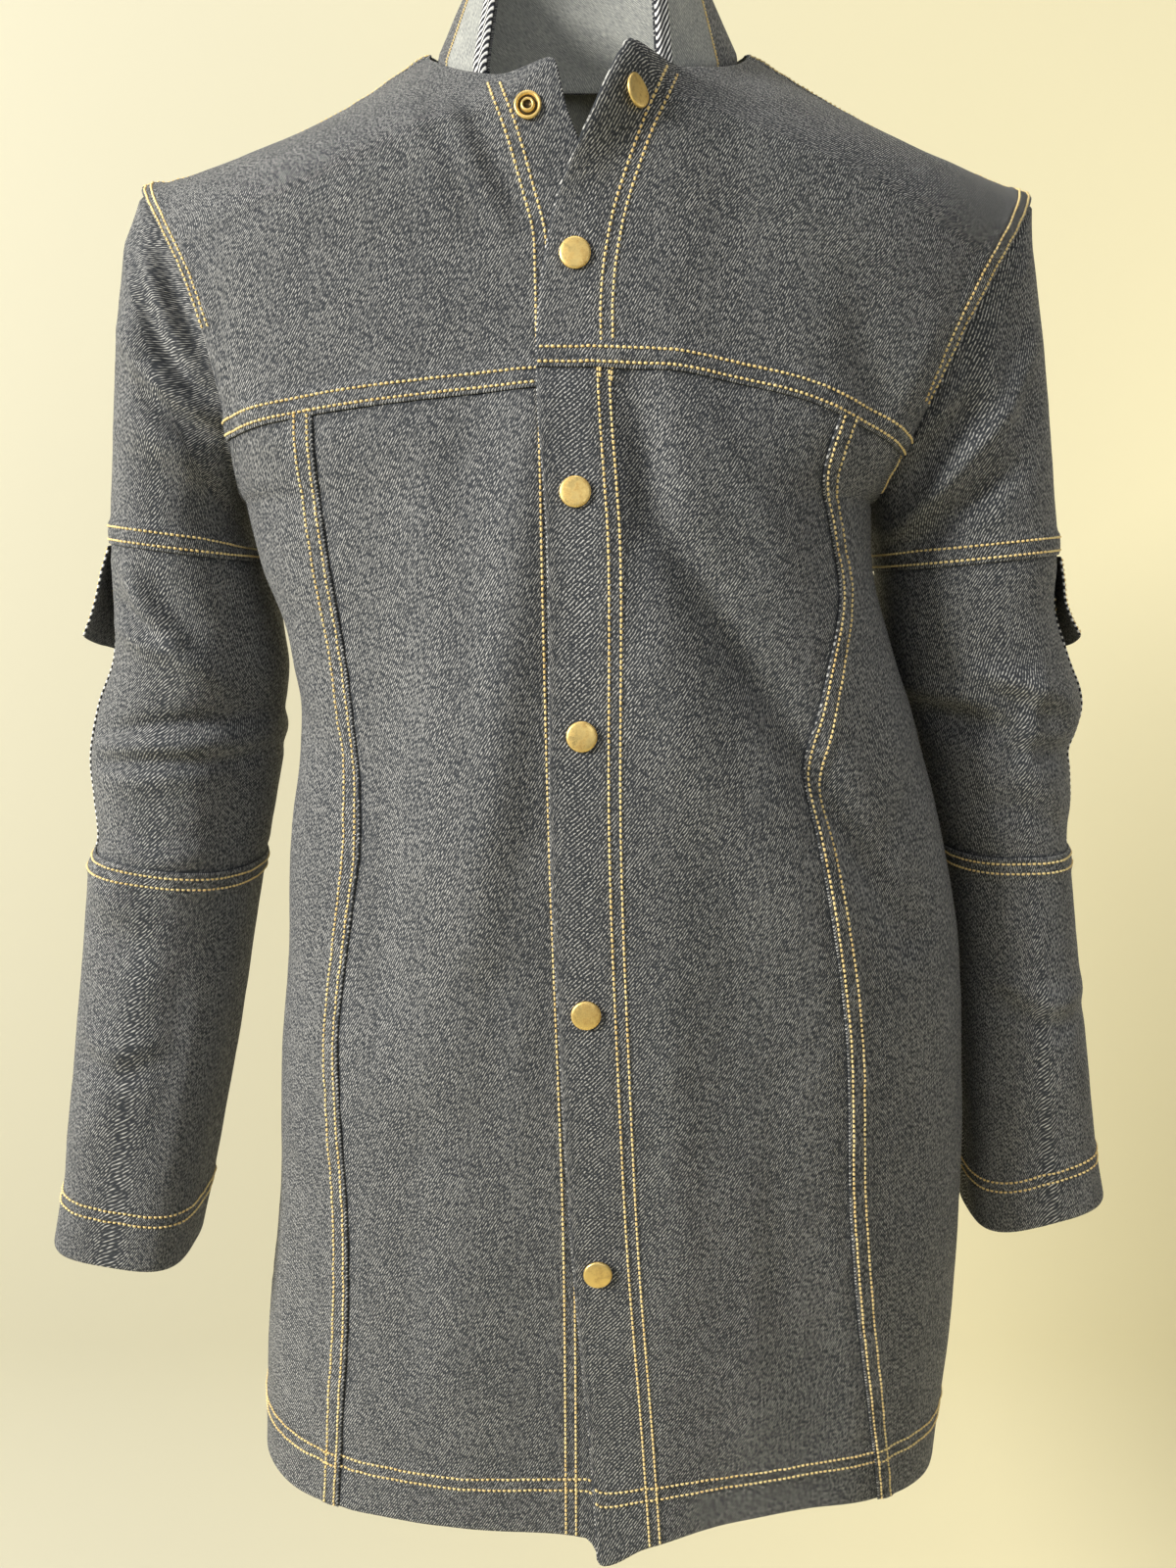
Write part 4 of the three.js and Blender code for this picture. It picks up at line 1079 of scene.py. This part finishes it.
# radius and height
capProfile = [(0.02, -0.2), (7.0, -0.2), (7.4, 0.1), (7.5, 0.55), (7.36, 1.0), (7.0, 1.32), (6.4, 1.5),
              (5.2, 1.68), (3.6, 1.82), (1.8, 1.9), (0.02, 1.92)]
ringProfile = [(0.02, -0.2), (5.9, -0.2), (6.3, 0.1), (6.5, 0.7), (6.35, 1.3), (5.9, 1.6), (5.4, 1.6), (5.0, 1.3),
               (4.7, 0.6), (4.3, 0.3), (3.7, 0.3), (3.4, 0.6), (3.2, 1.5), (2.8, 1.9), (2.3, 1.9), (2.0, 1.5),
               (1.8, 0.7), (0.02, 0.6)]
snapSpots = {1: (22, -55), 2: (-6, -123), 3: (-6, -234), 4: (-3, -348), 5: (-1, -486), 6: (5, -628)}
for number, spot in snapSpots.items():
    lathe(f"snapCap_{number}", f"snap_cap_{number}", spot, snap["turn"] if number == 1 else 0, capProfile)
lathe("snapRing_1", "snap_ring_1", (-28, -56), 0, ringProfile, ((3.5, 4.8), (0, 1.9)))
print("snaps ready")

# ---- stitching
stitch = {"pitch": 2.8, "length": 2.05, "radius": 0.58, "sides": 5, "jitter": 0.12}
overlock = {"pitch": 1.7, "length": 1.5, "radius": 0.5}
sewn = {}


def seamLine(name, edge, distance, keep=None):
    g = built[name]
    d, p, n = g[edge], g["p"], g["n"]
    if edge[0] == "v":
        d, p, n = d.T, p.transpose(1, 0, 2), n.transpose(1, 0, 2)
    if edge[1] == "1":
        d, p, n = d[:, ::-1], p[:, ::-1], n[:, ::-1]
    at, up = (np.array([[np.interp(distance, row, col) for col in pts.T] for row, pts in zip(d, field)])
              for field in (p, n))
    up = unit(up)
    if g["ring"] and edge[0] == "v":
        at, up = np.concatenate([at, at[:1]]), np.concatenate([up, up[:1]])
    if keep is not None:
        ok = keep(at)
        at, up = at[ok], up[ok]
    return at, up


def frontRow(side, line, top, bottom):
    # a row of stitching drawn in the front view, from the neck edge down
    z = np.linspace(top, bottom, 90)
    p, n = frontAt(side, line(z), z, 0.5, 0.985)
    return p + n * (clothNoise(p) - 0.1)[:, None], n


def sew(group, line, phase=0.0, size=stitch):
    # one small bent cylinder for each stitch, its ends sunk into the cloth
    at, up = line
    if len(at) < 3:
        return
    pitch, length, radius = size["pitch"], size["length"], size["radius"]
    cum = np.concatenate([[0], np.cumsum(np.linalg.norm(np.diff(at, axis=0), axis=1))])
    n = int(cum[-1] / pitch)
    rng = np.random.default_rng(len(sewn.get(group, [])) + 7)
    centre = (np.arange(n) + 0.5 + phase) * pitch + rng.uniform(-stitch["jitter"], stitch["jitter"], n)
    parts = []
    tilt = rng.uniform(-0.09, 0.09, n)
    full = rng.uniform(0.88, 1.1, n)

    def read(s):
        p, normal = (np.stack([np.interp(s, cum, field[:, c]) for c in range(3)], -1) for field in (at, up))
        return p, unit(normal)
    ahead = unit(read(centre + 0.6)[0] - read(centre - 0.6)[0])
    for off, rise, fat in ((-0.5, -0.5, 0.7), (-0.26, 0.3, 1.0), (0.26, 0.3, 1.0), (0.5, -0.5, 0.7)):
        p, normal = read(centre + off * length)
        cross = unit(np.cross(ahead, normal))
        p = p + normal * (rise + 0.1) + cross * (tilt * off * length)[:, None]
        for k in range(stitch["sides"]):
            a = 2 * np.pi * k / stitch["sides"]
            spoke = cross * math.cos(a) * 1.15 + normal * math.sin(a) * 0.85
            parts.append(p + spoke * (radius * fat * full)[:, None])
    sewn.setdefault(group, []).append(np.stack(parts, 1))           # stitches x 20 x 3


def rowPairs(group, name, edge, distances, keep=None):
    for d in distances:
        sew(group, seamLine(name, edge, d, keep), phase=0.3 if d > 5 else 0)


armRows = {-1: [1.8, 6.2], 1: [2.0, 8.0]}
rowEnd = {-1: -150, 1: -186}                 # where the armhole rows stop on the yokes
yokeRow = {-1: seam("-30 -50 -39 -47 -61 -40 -92 -31 -111 -26 -131 -25 -172 -24 -200 -22"),
           1: seam("-30 38 -39 35 -96 14 -123 8 -144 6 -163 6 -193 5")}
for side in (-1, 1):
    w = who[side]

    def above(z):
        return lambda at: at[:, 2] > z
    for group, label, edge, distances, keep in (
            (f"front_{w}", f"centreFront_{w}", "u0", placketRows, None),
            (f"front_{w}", f"centreFront_{w}", "v0", hemRows, None),
            (f"front_{w}", f"sideFront_{w}", "u0", rowPair, None),
            (f"front_{w}", f"sideFront_{w}", "v0", hemRows, None),
            (f"front_{w}", f"sideFront_{w}", "u1", [2.0, 6.0] if side > 0 else [], above(-228)),
            (f"yoke_{w}", f"yoke_{w}", "v0", rowPair, None),
            (f"yoke_{w}", f"yoke_{w}", "u1", armRows[side], above(rowEnd[side])),
            (f"yoke_{w}", f"yoke_{w}", "v1", rowPair, None),
            ("back", f"back_{side}", "v0", hemRows, None),
            ("back", f"back_{side}", "u1", rowPair, above(-226)),
            (f"sleeve_{w}", f"sleeveUpper_{w}", "v1", rowPair, None),
            (f"sleeve_{w}", f"sleeveLower_{w}", "v0", wideRows, None),
            (f"sleeve_{w}", f"sleeveLower_{w}", "v1", cuffRows, None),
            (f"sleeve_{w}", f"sleevePocket_{w}", "v0", wideRows, None),
            (f"sleeve_{w}", f"sleeveFlap_{w}", "v1", flapRows, None),
            (f"sleeve_{w}", f"sleeveFlap_{w}", "u0", [2.2], None),
            (f"sleeve_{w}", f"sleeveFlap_{w}", "u1", [2.2], None)):
        rowPairs(f"thread_{group}", label, edge, distances, keep)
    for shift in (0.0, 5.6):
        line = frontRow(side, lambda z: yokeRow[side](z) + shift, -37 - shift * 0.2, -197 if side < 0 else -183)
        sew(f"thread_yoke_{w}", line)
rowPairs("thread_collar", "collar", "v1", [2.0])
for side in (-1, 1):                         # overlocked edge of the strips
    sew("thread_collar", seamLine(f"collarTurnback_{who[side]}", "u1", 0.9), size=overlock)
for group, runs in sewn.items():
    verts = np.concatenate(runs)
    n, sides = len(verts), stitch["sides"]
    one = gridQuads(4, sides, True, False)
    quads = (one[None] + (np.arange(n) * 4 * sides)[:, None, None]).reshape(-1, 4)
    obj = makeMesh(group, verts.reshape(-1, 3), quads[:, ::-1], [threadLook], np.zeros(len(quads)))
    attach(obj, "root")
    print(group, n, "stitches")

# ---- room, light and camera
# the wall gets a darker colour at the left, as painted shade that holds down the key lamp's light on that side,
# and a lighter, yellower one at the right
room = {"wallLeft": (0.58, 0.55, 0.41, 1), "wallRight": (0.84, 0.77, 0.50, 1),
        "floorZ": -1.55, "wallY": 0.62, "curve": 0.35, "halfWidth": 2.6, "height": 2.2, "floorEnd": -2.4}


def backdrop():
    look = Look("paintedWall")
    where = look.node("ShaderNodeTexCoord", out=3)
    grain = look.noise(where, 60.0, 3.0)
    cloudy = look.noise(where, 1.4, 2.0)
    axes = look.node("ShaderNodeSeparateXYZ", values={0: where})
    # painted light: the wall's colour runs from the darker left one to the lighter, yellower right one
    side = look.step(axes + (cloudy - 0.5) * 0.2, -0.7, 0.8)
    look.set(Base_Color=look.blend(side, room["wallLeft"], room["wallRight"]), Roughness=0.9,
             Normal=look.bump(grain, 0.15, 0.001))
    profile = [(room["floorEnd"], room["floorZ"])]
    for a in np.linspace(0, math.pi / 2, 17):
        profile.append((room["wallY"] - room["curve"] * (1 - math.sin(a)),
                        room["floorZ"] + room["curve"] * (1 - math.cos(a))))
    profile.append((room["wallY"], room["height"]))
    xs = np.linspace(-room["halfWidth"], room["halfWidth"], 9)
    verts = np.array([(x, y, z) for y, z in profile for x in xs]) / mm
    quads = gridQuads(len(profile), len(xs), False, False)
    obj = makeMesh("backdrop", verts, quads, [look.material], np.zeros(len(quads)))


backdrop()
lights = {"key": {"at": (-2.5, -1.35, 0.70), "size": 0.9, "power": 138, "colour": (1.0, 0.98, 0.95)},
          "fill": {"at": (0.7, -2.5, 0.4), "size": 1.6, "power": 11, "colour": (0.97, 0.98, 1.0)},
          "top": {"at": (-0.2, -0.5, 2.1), "size": 1.6, "power": 17, "colour": (1.0, 0.98, 0.95)},
          "wash": {"at": (1.3, 0.15, -0.3), "size": 0.8, "power": 3.5, "colour": (1.0, 0.97, 0.92),
                   "aim": (0.6, 0.62, -0.45)}}
for name, lamp in lights.items():
    data = bpy.data.lights.new(name, "AREA")
    data.shape, data.size, data.energy, data.color = "DISK", lamp["size"], lamp["power"], lamp["colour"]
    obj = place(name, data)
    obj.location = lamp["at"]
    aim = Vector(lamp.get("aim", (0, 0, -0.4))) - Vector(lamp["at"])
    obj.rotation_euler = aim.to_track_quat("-Z", "Y").to_euler()
world = bpy.data.worlds.new("studio")
world.use_nodes = True
world.node_tree.nodes["Background"].inputs[0].default_value = (0.93, 0.95, 1.0, 1)
world.node_tree.nodes["Background"].inputs[1].default_value = 0.15
bpy.context.scene.world = world
bpy.context.scene.view_settings.view_transform = "Standard"

cameraSpot = {"at": (0, -0.685, -0.272), "down": 10.0, "lens": 27.045}
data = bpy.data.cameras.new("camera")
data.lens, data.sensor_width, data.sensor_fit = cameraSpot["lens"], 36.0, "AUTO"
camera = place("camera", data)
camera.location = cameraSpot["at"]
camera.rotation_euler = (math.radians(90 - cameraSpot["down"]), 0, 0)
bpy.context.scene.camera = camera
